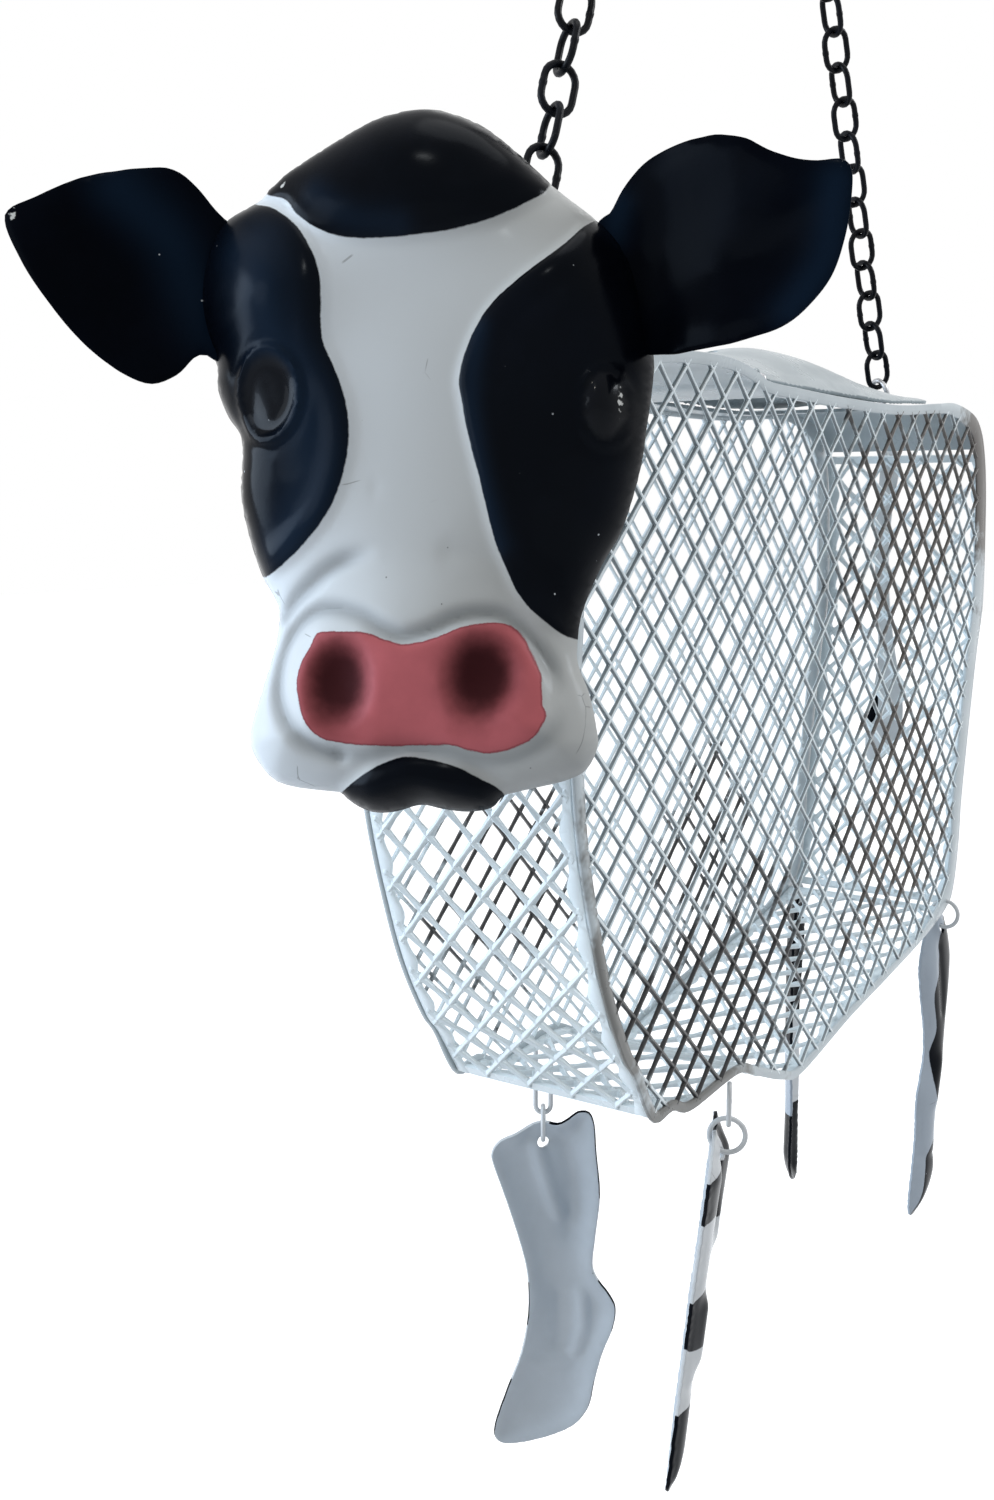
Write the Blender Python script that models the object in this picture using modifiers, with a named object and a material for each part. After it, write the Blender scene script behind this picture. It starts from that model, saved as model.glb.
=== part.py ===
# Hanging bird feeder in the shape of a cow, of expanded metal, with loose legs and tail.
# Metres. The origin is where the hook bears on its branch. +Z up, -Y the cow's nose, +X the cow's left.
import math
import bmesh
import bpy
from mathutils import Matrix, Vector

MM = 0.001

# Body
BODY_LENGTH = 264.6 * MM
BODY_HEIGHT = 186.6 * MM
BODY_WIDTH = 56.0 * MM
HANG_RISE = 259.7 * MM
HANG_SHARE = 0.4265
SHEET = 1.0 * MM
CLEAR = 0.3 * MM
CORNER_GAP = 1.2 * MM

# Expanded metal, with a mesh more than twice as coarse as the real one
DIAMOND_LONG = 30.0 * MM
DIAMOND_TALL = 27.0 * MM
STRAND = 1.8 * MM
SMALLEST_GAP_SHARE = 0.14
CHEST_NET_SHARE = 0.70
STRIP_RIM = 2.2 * MM
STRIP_STEP = 3.5 * MM
RING_SLOT = 2.7 * MM
STRIP_LONG = 31.8 * MM
SIDE_LATTICE_START = 8.1 * MM
STRIP_LATTICE_START = 0.9 * MM

# Hook, ring and chains
HOOK_WIRE = 3.0 * MM
HOOK_TOP_BOW = 10.0 * MM
HOOK_LOW_BOW = 8.0 * MM
HOOK_DROP = 45.0 * MM
TOP_BOW_FROM = math.radians(-25.0)
TOP_BOW_TO = math.radians(180.0)
LOW_BOW_TO = math.radians(-220.0)
RING_WIRE = 2.4 * MM
RING_RADIUS = 11.0 * MM
CHAIN_WIRE = 1.6 * MM
LINK_WIDTH = 9.1 * MM
LINK_BITE = 0.15 * MM
FRONT_LINKS = 27
REAR_LINKS = 28
CHAIN_TWIST = math.radians(4.0)
TWISTED_LINKS = 8
EYE_RADIUS = 3.6 * MM
EYE_WIRE = 1.6 * MM
EYE_FOOT_RADIUS = 4.0 * MM
EYE_FOOT_TALL = 1.2 * MM
EYE_SHANK_RADIUS = 1.12 * MM
FRONT_EYE_AT = (0.0738, 1.0163)
REAR_EYE_AT = (0.8906, 1.0163)
FRONT_FOOT_AT = (0.1094, 0.9700)
REAR_FOOT_AT = (0.8906, 0.9822)
REAR_EYE_EDGE_INDEX = 10

# Lid
LID_FRONT_SHARE = 0.356
LID_REAR_SHARE = 0.807
LID_INSET = 3.0 * MM
LID_HALF_WIDTH = BODY_WIDTH / 2 - LID_INSET
LID_LIFT = 0.9 * MM
LID_CROWNS = ((0.0, 6.5), (0.12, 9.0), (0.3, 12.5), (0.5, 12.0), (0.7, 8.5), (0.86, 4.5), (1.0, 1.2))
LID_HOLE_RADIUS = 1.5 * MM
LID_HOLE_SHARE = 0.16
HINGE_WIRE = 1.4 * MM
HINGE_HEIGHT = 2.3 * MM
HINGE_HALF = LID_HALF_WIDTH - 0.8 * MM
BARREL_WALL = 0.8 * MM
BARREL_TO = LID_HALF_WIDTH - 2.4 * MM
BARREL_FROM = BARREL_TO - 4.6 * MM

# Filler opening in the back sheet
FILLER_FROM_SHARE = 0.43
FILLER_TO_SHARE = 0.76
FILLER_HALF_WIDTH = LID_HALF_WIDTH - 6.0 * MM

# Head
HEAD_TURN = math.radians(23.7)
HEAD_LEAN = math.radians(8.0)
HEAD_AHEAD = 7.2 * MM
HEAD_AT_HEIGHT = 0.866
HEAD_SHEET = 0.9 * MM
HEAD_DOME = 14.0 * MM
DOME_POWER = 2.5
BUMP_POWER = 6
MUZZLE_RIM = 8.0 * MM
# Heights on the head, in millimetres, where the muzzle starts to stand out and the dome to flatten
MUZZLE_TOP = -18.0
MUZZLE_RUN = 34.0
LOW_FACE_TOP = -10.0
LOW_FACE_RUN = 40.0
LOW_FLATTENING = 0.2
EAR_BOW = 4.0
EAR_ACROSS = 5
BAR_HALF = 42.2 * MM
BAR_TALL = 12.0 * MM
BAR_THICK = 1.6 * MM
BAR_AT = 2.0 * MM
NECK_RADIUS = 9.0 * MM
NECK_WALL = 1.5 * MM

# Legs and tail
SMALL_WIRE = 1.3 * MM
SMALL_RING = 4.5 * MM
LEG_SHEET = 1.0 * MM
LEG_HOLE = 1.5 * MM
LEG_BOW = 3.6 * MM
LEG_EYE_WIDTH = 5.4 * MM
LEFT_EYE_TALL = 12.0 * MM
RIGHT_EYE_TALL = 21.4 * MM
FAR_LEG_STRETCH = 1.07
TAIL_SHEET = 1.2 * MM

# Outline of the side, front top corner first, over the back and round: along the length, up the height
SIDE = (
    (0.1221, 0.9897), (0.1366, 0.9955), (0.1995, 1.0000), (0.2654, 0.9991), (0.3162, 0.9871),
    (0.3404, 0.9780), (0.4051, 0.9751), (0.5290, 0.9717), (0.6717, 0.9726), (0.8000, 0.9840),
    (0.8615, 0.9880), (0.9299, 0.9743), (0.9600, 0.9500), (0.9758, 0.9168), (0.9870, 0.8700),
    (0.9946, 0.7976), (1.0000, 0.6518), (0.9849, 0.5660), (0.9722, 0.4803), (0.9504, 0.3087),
    (0.9462, 0.2230), (0.9341, 0.1458), (0.9099, 0.1115), (0.8253, 0.0823), (0.6959, 0.0540),
    (0.5919, 0.0334), (0.4625, 0.0000), (0.4141, 0.0111), (0.3501, 0.0455), (0.3071, 0.0660),
    (0.2122, 0.0600), (0.1778, 0.0763), (0.1415, 0.0780), (0.1082, 0.1492), (0.0895, 0.1810),
    (0.0568, 0.2659), (0.0308, 0.3688), (0.0145, 0.4520), (0.0067, 0.5197), (0.0000, 0.6089),
    (0.0030, 0.6947), (0.0121, 0.7504), (0.0846, 0.9305))
# Width of the side's solid rim after each of those points, in millimetres
RIMS = (
    3.0, 2.8, 2.8, 2.8, 2.8, 2.8, 2.8, 2.8, 2.8, 3.0, 4.0, 6.0, 8.0, 8.5, 9.0, 9.5, 9.5, 9.0, 8.5, 8.0,
    7.0, 7.0, 7.0, 2.4, 2.4, 2.4, 2.4, 2.4, 2.4, 2.4, 2.4, 2.6, 2.8, 2.8, 3.0, 3.2, 3.4, 3.6, 4.0, 4.2,
    4.2, 4.0, 3.4)
TOP_FIRST_INDEX = 0
TOP_LAST_INDEX = 13
REAR_LAST_INDEX = 22
BELLY_LAST_INDEX = 32

# Right half of the head's outline from the crest down to the chin, in millimetres
HEAD_HALF = (
    (0.0, 69.0), (8.0, 66.0), (15.0, 60.5), (22.0, 55.5), (31.0, 51.0), (40.0, 42.0), (44.5, 32.0),
    (45.5, 20.0), (43.0, 8.0), (41.0, -2.0), (38.0, -13.0), (34.0, -21.0), (31.3, -29.0), (30.8, -36.0),
    (33.0, -46.0), (35.0, -54.0), (34.0, -60.0), (29.0, -64.0), (21.0, -66.0), (15.0, -68.5),
    (8.0, -70.0), (0.0, -70.0))
HEAD_RINGS = (0.22, 0.45, 0.66, 0.83, 0.94, 1.0)
# Ear from root to tip: distance from the middle, top, bottom, height in front of the rim
EAR = (
    (35.0, 46.0, 30.0, 7.0), (42.0, 51.0, 20.0, 9.5), (50.0, 54.5, 15.5, 13.0), (58.0, 55.3, 15.5, 16.0),
    (66.0, 54.0, 19.5, 18.0), (73.0, 51.5, 27.0, 19.0), (79.0, 49.5, 37.0, 19.5), (82.0, 46.5, 43.0, 20.0))
# Bumps of the head: sideways, up, width, height, rise. Each one has its twin on the other side
BUMPS = (
    (32.0, 10.0, 9.0, 9.0, 3.5), (30.0, 28.0, 13.0, 12.0, 3.0), (14.5, -44.0, 16.0, 13.0, 2.6),
    (0.0, 60.0, 15.0, 8.0, 1.5), (22.0, -56.0, 11.0, 8.0, 2.0))

# Leg from top to hoof: down, middle, half of the width, in millimetres
FRONT_LEG = (
    (-5.0, 0.6, 2.4), (-3.4, 0.5, 4.6), (-1.4, 0.2, 7.4), (2.6, -1.6, 10.8), (8.6, -3.4, 13.6),
    (18.1, -1.0, 12.2), (27.6, -0.5, 9.7), (35.6, 0.4, 9.2), (41.6, 1.8, 9.6), (48.6, 4.2, 11.4),
    (53.6, 3.8, 10.8), (59.6, 2.2, 9.7), (65.6, 0.8, 9.5), (71.6, -1.1, 10.0), (77.6, -3.0, 10.6),
    (83.1, -6.6, 8.6), (87.6, -11.6, 3.8))
REAR_LEG = (
    (-5.0, 0.6, 2.4), (-3.4, 0.5, 4.8), (-1.4, 0.4, 7.8), (3.6, 0.4, 11.2), (11.6, 0.6, 14.0),
    (22.6, 2.0, 12.6), (33.6, 3.2, 9.8), (41.6, 3.4, 8.8), (47.6, 2.6, 9.0), (54.6, 0.4, 10.2),
    (60.6, -1.2, 9.6), (67.6, -2.0, 8.6), (74.6, -2.2, 8.6), (81.6, -2.6, 9.4), (87.6, -3.2, 10.2),
    (93.6, -5.6, 8.4), (98.6, -9.6, 3.8))
TAIL = (
    (-2.6, 0.0, 2.4), (0.0, 0.0, 3.6), (6.0, 0.4, 3.4), (16.0, 1.4, 2.8), (30.0, 2.0, 2.5),
    (46.0, 1.2, 2.4), (60.0, -0.4, 2.6), (72.0, -1.6, 3.6), (82.0, -2.0, 5.4), (92.0, -1.2, 6.4),
    (101.0, 0.6, 4.8), (107.0, 2.4, 1.6))
FRONT_LEG_AT = 0.2938
FRONT_LEFT_TURN = math.radians(25.0)
FRONT_RIGHT_TURN = math.radians(-57.0)
FRONT_LEFT_LEAN = math.radians(6.0)
REAR_HOLE_AT = (0.9070, 0.1276)
TAIL_AT = (0.9640, 0.9471)
TAIL_ASIDE = -8.0 * MM
TAIL_OUT = 13.4 * MM

# Sides of round bodies, and steps along bent wires
LINK_SIDES = 4
SMALL_SIDES = 6
WIRE_SIDES = 8
HOLE_SIDES = 10
BARREL_SIDES = 12
FOOT_SIDES = 16
ROUND_SIDES = 24
BOW_STEPS = 12
EYE_STEPS = 12
SMALL_RING_STEPS = 14
RING_STEPS = 24
LINK_BOW_DEGREES = (-90, -30, 30, 90)
EYE_BOW_DEGREES = (-90, -54, -18, 18, 54, 90)
LID_ACROSS = 11
LEG_ACROSS = 5

HOOK_TOP_Z = HOOK_WIRE / 2 - HOOK_TOP_BOW
HOOK_LOW_Z = HOOK_TOP_Z - HOOK_DROP
RING_TOP_Z = HOOK_LOW_Z - HOOK_LOW_BOW + HOOK_WIRE / 2 + RING_WIRE / 2 + CLEAR
HANG_Z = RING_TOP_Z - RING_RADIUS
BASE_Z = HANG_Z - HANG_RISE - BODY_HEIGHT
FRONT_Y = -HANG_SHARE * BODY_LENGTH
INNER_HALF = BODY_WIDTH / 2 - SHEET - CLEAR

PAINTS = {
    "white": (0.80, 0.82, 0.84, 1.0),
    "black": (0.02, 0.02, 0.025, 1.0),
    "steel": (0.55, 0.56, 0.58, 1.0)}

for old in list(bpy.data.objects):
    bpy.data.objects.remove(old, do_unlink=True)
scene = bpy.context.scene
part_collection = bpy.data.collections.new("mesh_bird_feeder")
cutter_collection = bpy.data.collections.new("cutters")
scene.collection.children.link(part_collection)
scene.collection.children.link(cutter_collection)


def at(share_along, share_up):
    """Place along the body's length and up its height, in metres."""
    return Vector((0.0, FRONT_Y + share_along * BODY_LENGTH, BASE_Z + share_up * BODY_HEIGHT))


def paint(obj, kind):
    mat = bpy.data.materials.new(obj.name + "_" + kind)
    mat.use_nodes = True
    shader = mat.node_tree.nodes["Principled BSDF"]
    shader.inputs["Base Color"].default_value = PAINTS[kind]
    shader.inputs["Roughness"].default_value = 0.35
    shader.inputs["Metallic"].default_value = 1.0 if kind == "steel" else 0.0
    obj.data.materials.clear()
    obj.data.materials.append(mat)


def make(name, mesh, kind, smooth=True):
    obj = bpy.data.objects.new(name, mesh)
    part_collection.objects.link(obj)
    paint(obj, kind)
    if smooth:
        mesh.shade_smooth()
        mesh.set_sharp_from_angle(angle=math.radians(40))
    return obj


def cutter(name, mesh):
    obj = bpy.data.objects.new(name, mesh)
    cutter_collection.objects.link(obj)
    obj.hide_render = True
    obj.display_type = "WIRE"
    return obj


def apply_modifiers(obj):
    graph = bpy.context.evaluated_depsgraph_get()
    mesh = bpy.data.meshes.new_from_object(obj.evaluated_get(graph))
    obj.modifiers.clear()
    obj.data = mesh


def boolean(obj, other, operation):
    mod = obj.modifiers.new(operation.lower(), "BOOLEAN")
    mod.operation = operation
    mod.solver = "EXACT"
    mod.object = other
    apply_modifiers(obj)


def mesh_from(name, verts, faces):
    mesh = bpy.data.meshes.new(name)
    mesh.from_pydata([tuple(v) for v in verts], [], faces)
    work = bmesh.new()
    work.from_mesh(mesh)
    bmesh.ops.recalc_face_normals(work, faces=work.faces)
    work.to_mesh(mesh)
    work.free()
    return mesh


def flat_plate(name, outline, holes, thickness):
    """Mesh of a flat plate with holes, cut from a filled curve in its own XY plane."""
    curve = bpy.data.curves.new(name, "CURVE")
    curve.dimensions = "2D"
    curve.fill_mode = "BOTH"
    curve.extrude = thickness / 2
    for ring in [outline] + holes:
        spline = curve.splines.new("POLY")
        spline.points.add(len(ring) - 1)
        for point, (a, b) in zip(spline.points, ring):
            point.co = (a, b, 0.0, 1.0)
        spline.use_cyclic_u = True
    holder = bpy.data.objects.new(name + "_curve", curve)
    scene.collection.objects.link(holder)
    graph = bpy.context.evaluated_depsgraph_get()
    mesh = bpy.data.meshes.new_from_object(holder.evaluated_get(graph))
    bpy.data.objects.remove(holder, do_unlink=True)
    work = bmesh.new()
    work.from_mesh(mesh)
    bmesh.ops.remove_doubles(work, verts=work.verts, dist=MM / 100)
    bmesh.ops.recalc_face_normals(work, faces=work.faces)
    work.to_mesh(mesh)
    work.free()
    return mesh


def tube(points, radius, sides, closed):
    """Vertices and faces of a round wire along points, with a steady twist-free frame."""
    count = len(points)
    verts = []
    faces = []
    before = None
    for i, here in enumerate(points):
        if closed:
            along = points[(i + 1) % count] - points[i - 1]
        else:
            along = points[min(i + 1, count - 1)] - points[max(i - 1, 0)]
        along.normalize()
        if before is None:
            before = along.orthogonal()
        side = (before - along * before.dot(along)).normalized()
        before = side
        up = along.cross(side)
        for j in range(sides):
            turn = math.tau * j / sides
            verts.append(here + side * (radius * math.cos(turn)) + up * (radius * math.sin(turn)))
    for i in range(count if closed else count - 1):
        for j in range(sides):
            k = (j + 1) % sides
            n = (i + 1) % count
            faces.append((i * sides + j, i * sides + k, n * sides + k, n * sides + j))
    if not closed:
        faces.append(tuple(range(sides))[::-1])
        faces.append(tuple(range((count - 1) * sides, count * sides)))
    return verts, faces


def circle_points(centre, radius, first, second, count):
    """Points of a circle round centre in the plane of the two directions."""
    out = []
    for i in range(count):
        turn = math.tau * i / count
        out.append(centre + first * (radius * math.cos(turn)) + second * (radius * math.sin(turn)))
    return out


def rod_mesh(name, start, end, radius, sides):
    verts, faces = tube([start, end], radius, sides, False)
    return mesh_from(name, verts, faces)


def clip(ring, foot, inward):
    """Keep the part of a polygon that lies inward of a line."""
    out = []
    for i, here in enumerate(ring):
        there = ring[(i + 1) % len(ring)]
        a = (here[0] - foot[0]) * inward[0] + (here[1] - foot[1]) * inward[1]
        b = (there[0] - foot[0]) * inward[0] + (there[1] - foot[1]) * inward[1]
        if a >= 0:
            out.append(here)
        if (a >= 0) != (b >= 0):
            part = a / (a - b)
            out.append((here[0] + part * (there[0] - here[0]), here[1] + part * (there[1] - here[1])))
    return out


def tidy_ring(ring):
    """Drop the corners of a polygon that are almost on top of the one before."""
    out = []
    for here in ring:
        if not out or math.dist(here, out[-1]) > STRAND / 4:
            out.append(here)
    while len(out) > 1 and math.dist(out[0], out[-1]) <= STRAND / 4:
        out.pop()
    return out


def area(ring):
    total = 0.0
    for i, here in enumerate(ring):
        there = ring[(i + 1) % len(ring)]
        total += here[0] * there[1] - there[0] * here[1]
    return abs(total) / 2


def inside(ring, a, b):
    hit = False
    for i, here in enumerate(ring):
        there = ring[(i + 1) % len(ring)]
        if (here[1] > b) != (there[1] > b):
            if a < here[0] + (b - here[1]) * (there[0] - here[0]) / (there[1] - here[1]):
                hit = not hit
    return hit


def diamonds(outline, rims, long, tall, start, solid):
    """Diamond gaps of an expanded sheet, cut off along the rim of an outline that runs clockwise."""
    half_a = long / 2
    half_b = tall / 2
    shrink = 1 - STRAND / 2 * math.hypot(half_a, half_b) / (half_a * half_b)
    low_a = min(p[0] for p in outline)
    high_a = max(p[0] for p in outline)
    low_b = min(p[1] for p in outline)
    high_b = max(p[1] for p in outline)
    full = 2 * half_a * half_b * shrink * shrink
    gaps = []
    row = 0
    b = low_b + start
    while b < high_b + half_b:
        a = low_a - half_a + (half_a if row % 2 else 0.0)
        while a < high_a + half_a:
            ring = [(a - half_a * shrink, b), (a, b - half_b * shrink), (a + half_a * shrink, b),
                    (a, b + half_b * shrink)]
            if inside(outline, a, b) or any(inside(outline, *p) for p in ring):
                for i, here in enumerate(outline):
                    there = outline[(i + 1) % len(outline)]
                    edge = Vector((there[0] - here[0], there[1] - here[1]))
                    share = ((a - here[0]) * edge.x + (b - here[1]) * edge.y) / edge.length_squared
                    share = min(max(share, 0.0), 1.0)
                    near = (here[0] + share * edge.x, here[1] + share * edge.y)
                    if math.dist(near, (a, b)) < half_a + rims[i]:
                        inward = (edge.y / edge.length, -edge.x / edge.length)
                        foot = (here[0] + inward[0] * rims[i], here[1] + inward[1] * rims[i])
                        ring = clip(ring, foot, inward)
                ring = tidy_ring(ring)
                if len(ring) > 2 and area(ring) > SMALLEST_GAP_SHARE * full and not solid(a, b):
                    gaps.append(ring)
            a += long
        b += half_b
        row += 1
    return gaps


SIDE_POINTS = [at(*share) for share in SIDE]


def side_panel(name, sign):
    outline = [(p.y, p.z) for p in SIDE_POINTS]
    rims = [width * MM for width in RIMS]
    gaps = diamonds(outline, rims, DIAMOND_LONG, DIAMOND_TALL, SIDE_LATTICE_START, lambda a, b: False)
    hole = at(*REAR_HOLE_AT)
    turns = [math.tau * i / HOLE_SIDES for i in range(HOLE_SIDES)]
    gaps.append([(hole.y + LEG_HOLE * math.cos(t), hole.z + LEG_HOLE * math.sin(t)) for t in turns])
    mesh = flat_plate(name, outline, gaps, SHEET)
    middle = sign * (BODY_WIDTH / 2 - SHEET / 2)
    mesh.transform(Matrix(((0, 0, 1, middle), (1, 0, 0, 0), (0, 1, 0, 0), (0, 0, 0, 1))))
    return make(name, mesh, "white", smooth=False)


def inset_path(points, depth):
    """A run of the outline, moved towards the inside of the body."""
    out = []
    for i, here in enumerate(points):
        before = points[max(i - 1, 0)]
        after = points[min(i + 1, len(points) - 1)]
        run = (after - before).normalized()
        out.append(here + Vector((0.0, run.z, -run.y)) * depth)
    return out


def along_path(path, length):
    """Place and outward direction at a length along a path."""
    left = length
    last = len(path) - 2
    for i in range(last + 1):
        step = (path[i + 1] - path[i]).length
        if left <= step or i == last:
            run = (path[i + 1] - path[i]) / step
            return path[i] + run * left, Vector((0.0, -run.z, run.y))
        left -= step
    return path[-1], Vector((0.0, 0.0, 1.0))


def path_length(path):
    return sum((path[i + 1] - path[i]).length for i in range(len(path) - 1))


def fold(mesh, marks):
    """Give a flat sheet straight creases where it will bend."""
    work = bmesh.new()
    work.from_mesh(mesh)
    for mark in marks:
        parts = work.verts[:] + work.edges[:] + work.faces[:]
        bmesh.ops.bisect_plane(work, geom=parts, plane_co=(mark, 0.0, 0.0), plane_no=(1.0, 0.0, 0.0))
    work.to_mesh(mesh)
    work.free()


def strip(name, points, netted, holes, solid_from, first):
    """A bent strip between the sides, with its solid part, its net or its own holes."""
    path = inset_path(points, SHEET / 2 + CLEAR)
    long = path_length(path)
    last = long - CORNER_GAP
    marks = [first]
    total = 0.0
    for i in range(1, len(path) - 1):
        total += (path[i] - path[i - 1]).length
        if total - marks[-1] > STRIP_STEP and last - total > STRIP_STEP:
            marks.append(total)
    marks.append(last)
    outline = [(m, INNER_HALF) for m in marks] + [(m, -INNER_HALF) for m in reversed(marks)]
    gaps = list(holes)
    if netted:
        rims = [STRIP_RIM] * len(outline)
        gaps += diamonds(outline, rims, DIAMOND_TALL, STRIP_LONG, STRIP_LATTICE_START,
                         lambda a, b: solid_from < a)
    mesh = flat_plate(name, outline, gaps, SHEET)
    fold(mesh, marks[1:-1])
    for vert in mesh.vertices:
        place, outward = along_path(path, vert.co.x)
        vert.co = place + outward * vert.co.z + Vector((vert.co.y, 0.0, 0.0))
    work = bmesh.new()
    work.from_mesh(mesh)
    bmesh.ops.recalc_face_normals(work, faces=work.faces)
    work.to_mesh(mesh)
    work.free()
    return make(name, mesh, "white", smooth=False)


def hook():
    """Wire hook: the upper bow goes over the branch, the lower one holds the ring."""
    bows = (
        (HOOK_TOP_BOW, HOOK_TOP_Z, TOP_BOW_FROM, TOP_BOW_TO, BOW_STEPS - 1),
        (HOOK_LOW_BOW, HOOK_LOW_Z, 0.0, LOW_BOW_TO, BOW_STEPS))
    points = []
    for radius, middle, start, end, steps in bows:
        for i in range(steps + 1):
            turn = start + (end - start) * i / steps
            points.append(Vector((radius * math.cos(turn), 0.0, middle + radius * math.sin(turn))))
    verts, faces = tube(points, HOOK_WIRE / 2, WIRE_SIDES, False)
    return make("hanging_hook", mesh_from("hanging_hook", verts, faces), "steel")


def hanging_ring():
    """Ring that carries both chains. Its origin is where it bears on the hook."""
    centre = Vector((0.0, 0.0, -RING_RADIUS))
    loop = circle_points(centre, RING_RADIUS, Vector((0.0, 1.0, 0.0)), Vector((0.0, 0.0, 1.0)), RING_STEPS)
    verts, faces = tube(loop, RING_WIRE / 2, SMALL_SIDES, True)
    obj = make("hanging_ring", mesh_from("hanging_ring", verts, faces), "steel")
    obj.location = (0.0, 0.0, RING_TOP_Z)


def link_mesh(start, along, across, length):
    """One oval link from start on, in the plane of the two directions."""
    bow = (LINK_WIDTH - CHAIN_WIRE) / 2
    points = []
    for end, sign in ((length - bow, 1), (bow, -1)):
        for degrees in LINK_BOW_DEGREES:
            turn = math.radians(degrees)
            reach = along * (end + sign * bow * math.cos(turn))
            points.append(start + reach + across * (sign * bow * math.sin(turn)))
    return tube(points, CHAIN_WIRE / 2, LINK_SIDES, True)


def outward_of(first, second):
    run = (second - first).normalized()
    return Vector((0.0, -run.z, run.y))


def chain(name, eye_centre, links):
    """Oval links from the ring to the eye, joined where they bear.

    Returns the direction of the chain and the normal of its last link."""
    hang = Vector((0.0, 0.0, HANG_Z))
    along = (eye_centre - hang).normalized()
    start = RING_RADIUS - (RING_WIRE + CHAIN_WIRE) / 2 - CLEAR
    end = (eye_centre - hang).length - EYE_RADIUS + (EYE_WIRE + CHAIN_WIRE) / 2 + CLEAR
    hold = CHAIN_WIRE - LINK_BITE
    length = (end - start + (links - 1) * hold) / links
    across_flat = Vector((1.0, 0.0, 0.0))
    across_deep = along.cross(across_flat)
    groups = ([[], []], [[], []])
    for i in range(links):
        turn = math.pi / 2 * (i % 2) + CHAIN_TWIST * min(i, TWISTED_LINKS)
        across = across_flat * math.cos(turn) + across_deep * math.sin(turn)
        verts, faces = link_mesh(hang + along * (start + i * (length - hold)), along, across, length)
        held = groups[i % 2]
        shift = len(held[0])
        held[0].extend(verts)
        held[1].extend(tuple(v + shift for v in face) for face in faces)
    obj = make(name, mesh_from(name, *groups[0]), "black")
    other = cutter(name + "_even_links", mesh_from(name + "_even_links", *groups[1]))
    boolean(obj, other, "UNION")
    paint(obj, "black")
    return along, along.cross(across)


def eye_bolt(name, centre, foot, outward, along, tangent):
    """A wire eye on a round foot. The chain pulls it against along, where its wire runs along tangent."""
    loop = circle_points(centre, EYE_RADIUS, tangent, along, EYE_STEPS)
    verts, faces = tube(loop, EYE_WIRE / 2, SMALL_SIDES, True)
    obj = make(name, mesh_from(name, verts, faces), "steel")
    plate = rod_mesh(name, foot, foot + outward * EYE_FOOT_TALL, EYE_FOOT_RADIUS, FOOT_SIDES)
    boolean(obj, cutter(name + "_foot", plate), "UNION")
    start = foot + outward * (EYE_FOOT_TALL / 2)
    shank = rod_mesh(name, start, centre + along * EYE_RADIUS, EYE_SHANK_RADIUS, WIRE_SIDES)
    boolean(obj, cutter(name + "_shank", shank), "UNION")
    paint(obj, "steel")


def head_matrix():
    ahead = Vector((math.sin(HEAD_TURN), -math.cos(HEAD_TURN), 0.0))
    right = Vector((math.cos(HEAD_TURN), math.sin(HEAD_TURN), 0.0))
    up = Vector((0.0, 0.0, 1.0)) * math.cos(HEAD_LEAN) - ahead * math.sin(HEAD_LEAN)
    normal = right.cross(up)
    centre = Vector((0.0, FRONT_Y - HEAD_AHEAD, BASE_Z + HEAD_AT_HEIGHT * BODY_HEIGHT))
    rows = [[right[i], -normal[i], up[i], centre[i]] for i in range(3)]
    return Matrix(rows + [[0.0, 0.0, 0.0, 1.0]])


def ramp(value):
    value = min(max(value, 0.0), 1.0)
    return value * value * (3 - 2 * value)


def relief(x, z, share):
    """How far the face stands in front of its rim plane, x and z in millimetres."""
    rise = MUZZLE_RIM * ramp((MUZZLE_TOP - z) / MUZZLE_RUN)
    lower = 1 - LOW_FLATTENING * ramp((LOW_FACE_TOP - z) / LOW_FACE_RUN)
    rise += HEAD_DOME * (1 - share ** DOME_POWER) * lower
    for bump_x, bump_z, wide, tall, top in BUMPS:
        for sign in ((1, -1) if bump_x else (1,)):
            far = ((x - sign * bump_x) / wide) ** 2 + ((z - bump_z) / tall) ** 2
            rise += top * MM * math.exp(-far) * (1 - share ** BUMP_POWER)
    return rise


def grid_faces(rows, across):
    """Faces between rows of points that lie one after the other."""
    faces = []
    for i in range(rows - 1):
        for j in range(across - 1):
            k = i * across + j
            faces.append((k, k + 1, k + across + 1, k + across))
    return faces


def sheet_mesh(name, verts, faces, thickness):
    """Closed mesh of a thin sheet, thickened to both sides with a Solidify modifier."""
    obj = bpy.data.objects.new(name + "_sheet", mesh_from(name, verts, faces))
    scene.collection.objects.link(obj)
    mod = obj.modifiers.new("thickness", "SOLIDIFY")
    mod.thickness = thickness
    mod.offset = 0.0
    mod.use_even_offset = True
    graph = bpy.context.evaluated_depsgraph_get()
    mesh = bpy.data.meshes.new_from_object(obj.evaluated_get(graph))
    bpy.data.objects.remove(obj, do_unlink=True)
    work = bmesh.new()
    work.from_mesh(mesh)
    bmesh.ops.recalc_face_normals(work, faces=work.faces)
    work.to_mesh(mesh)
    work.free()
    return mesh


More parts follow.
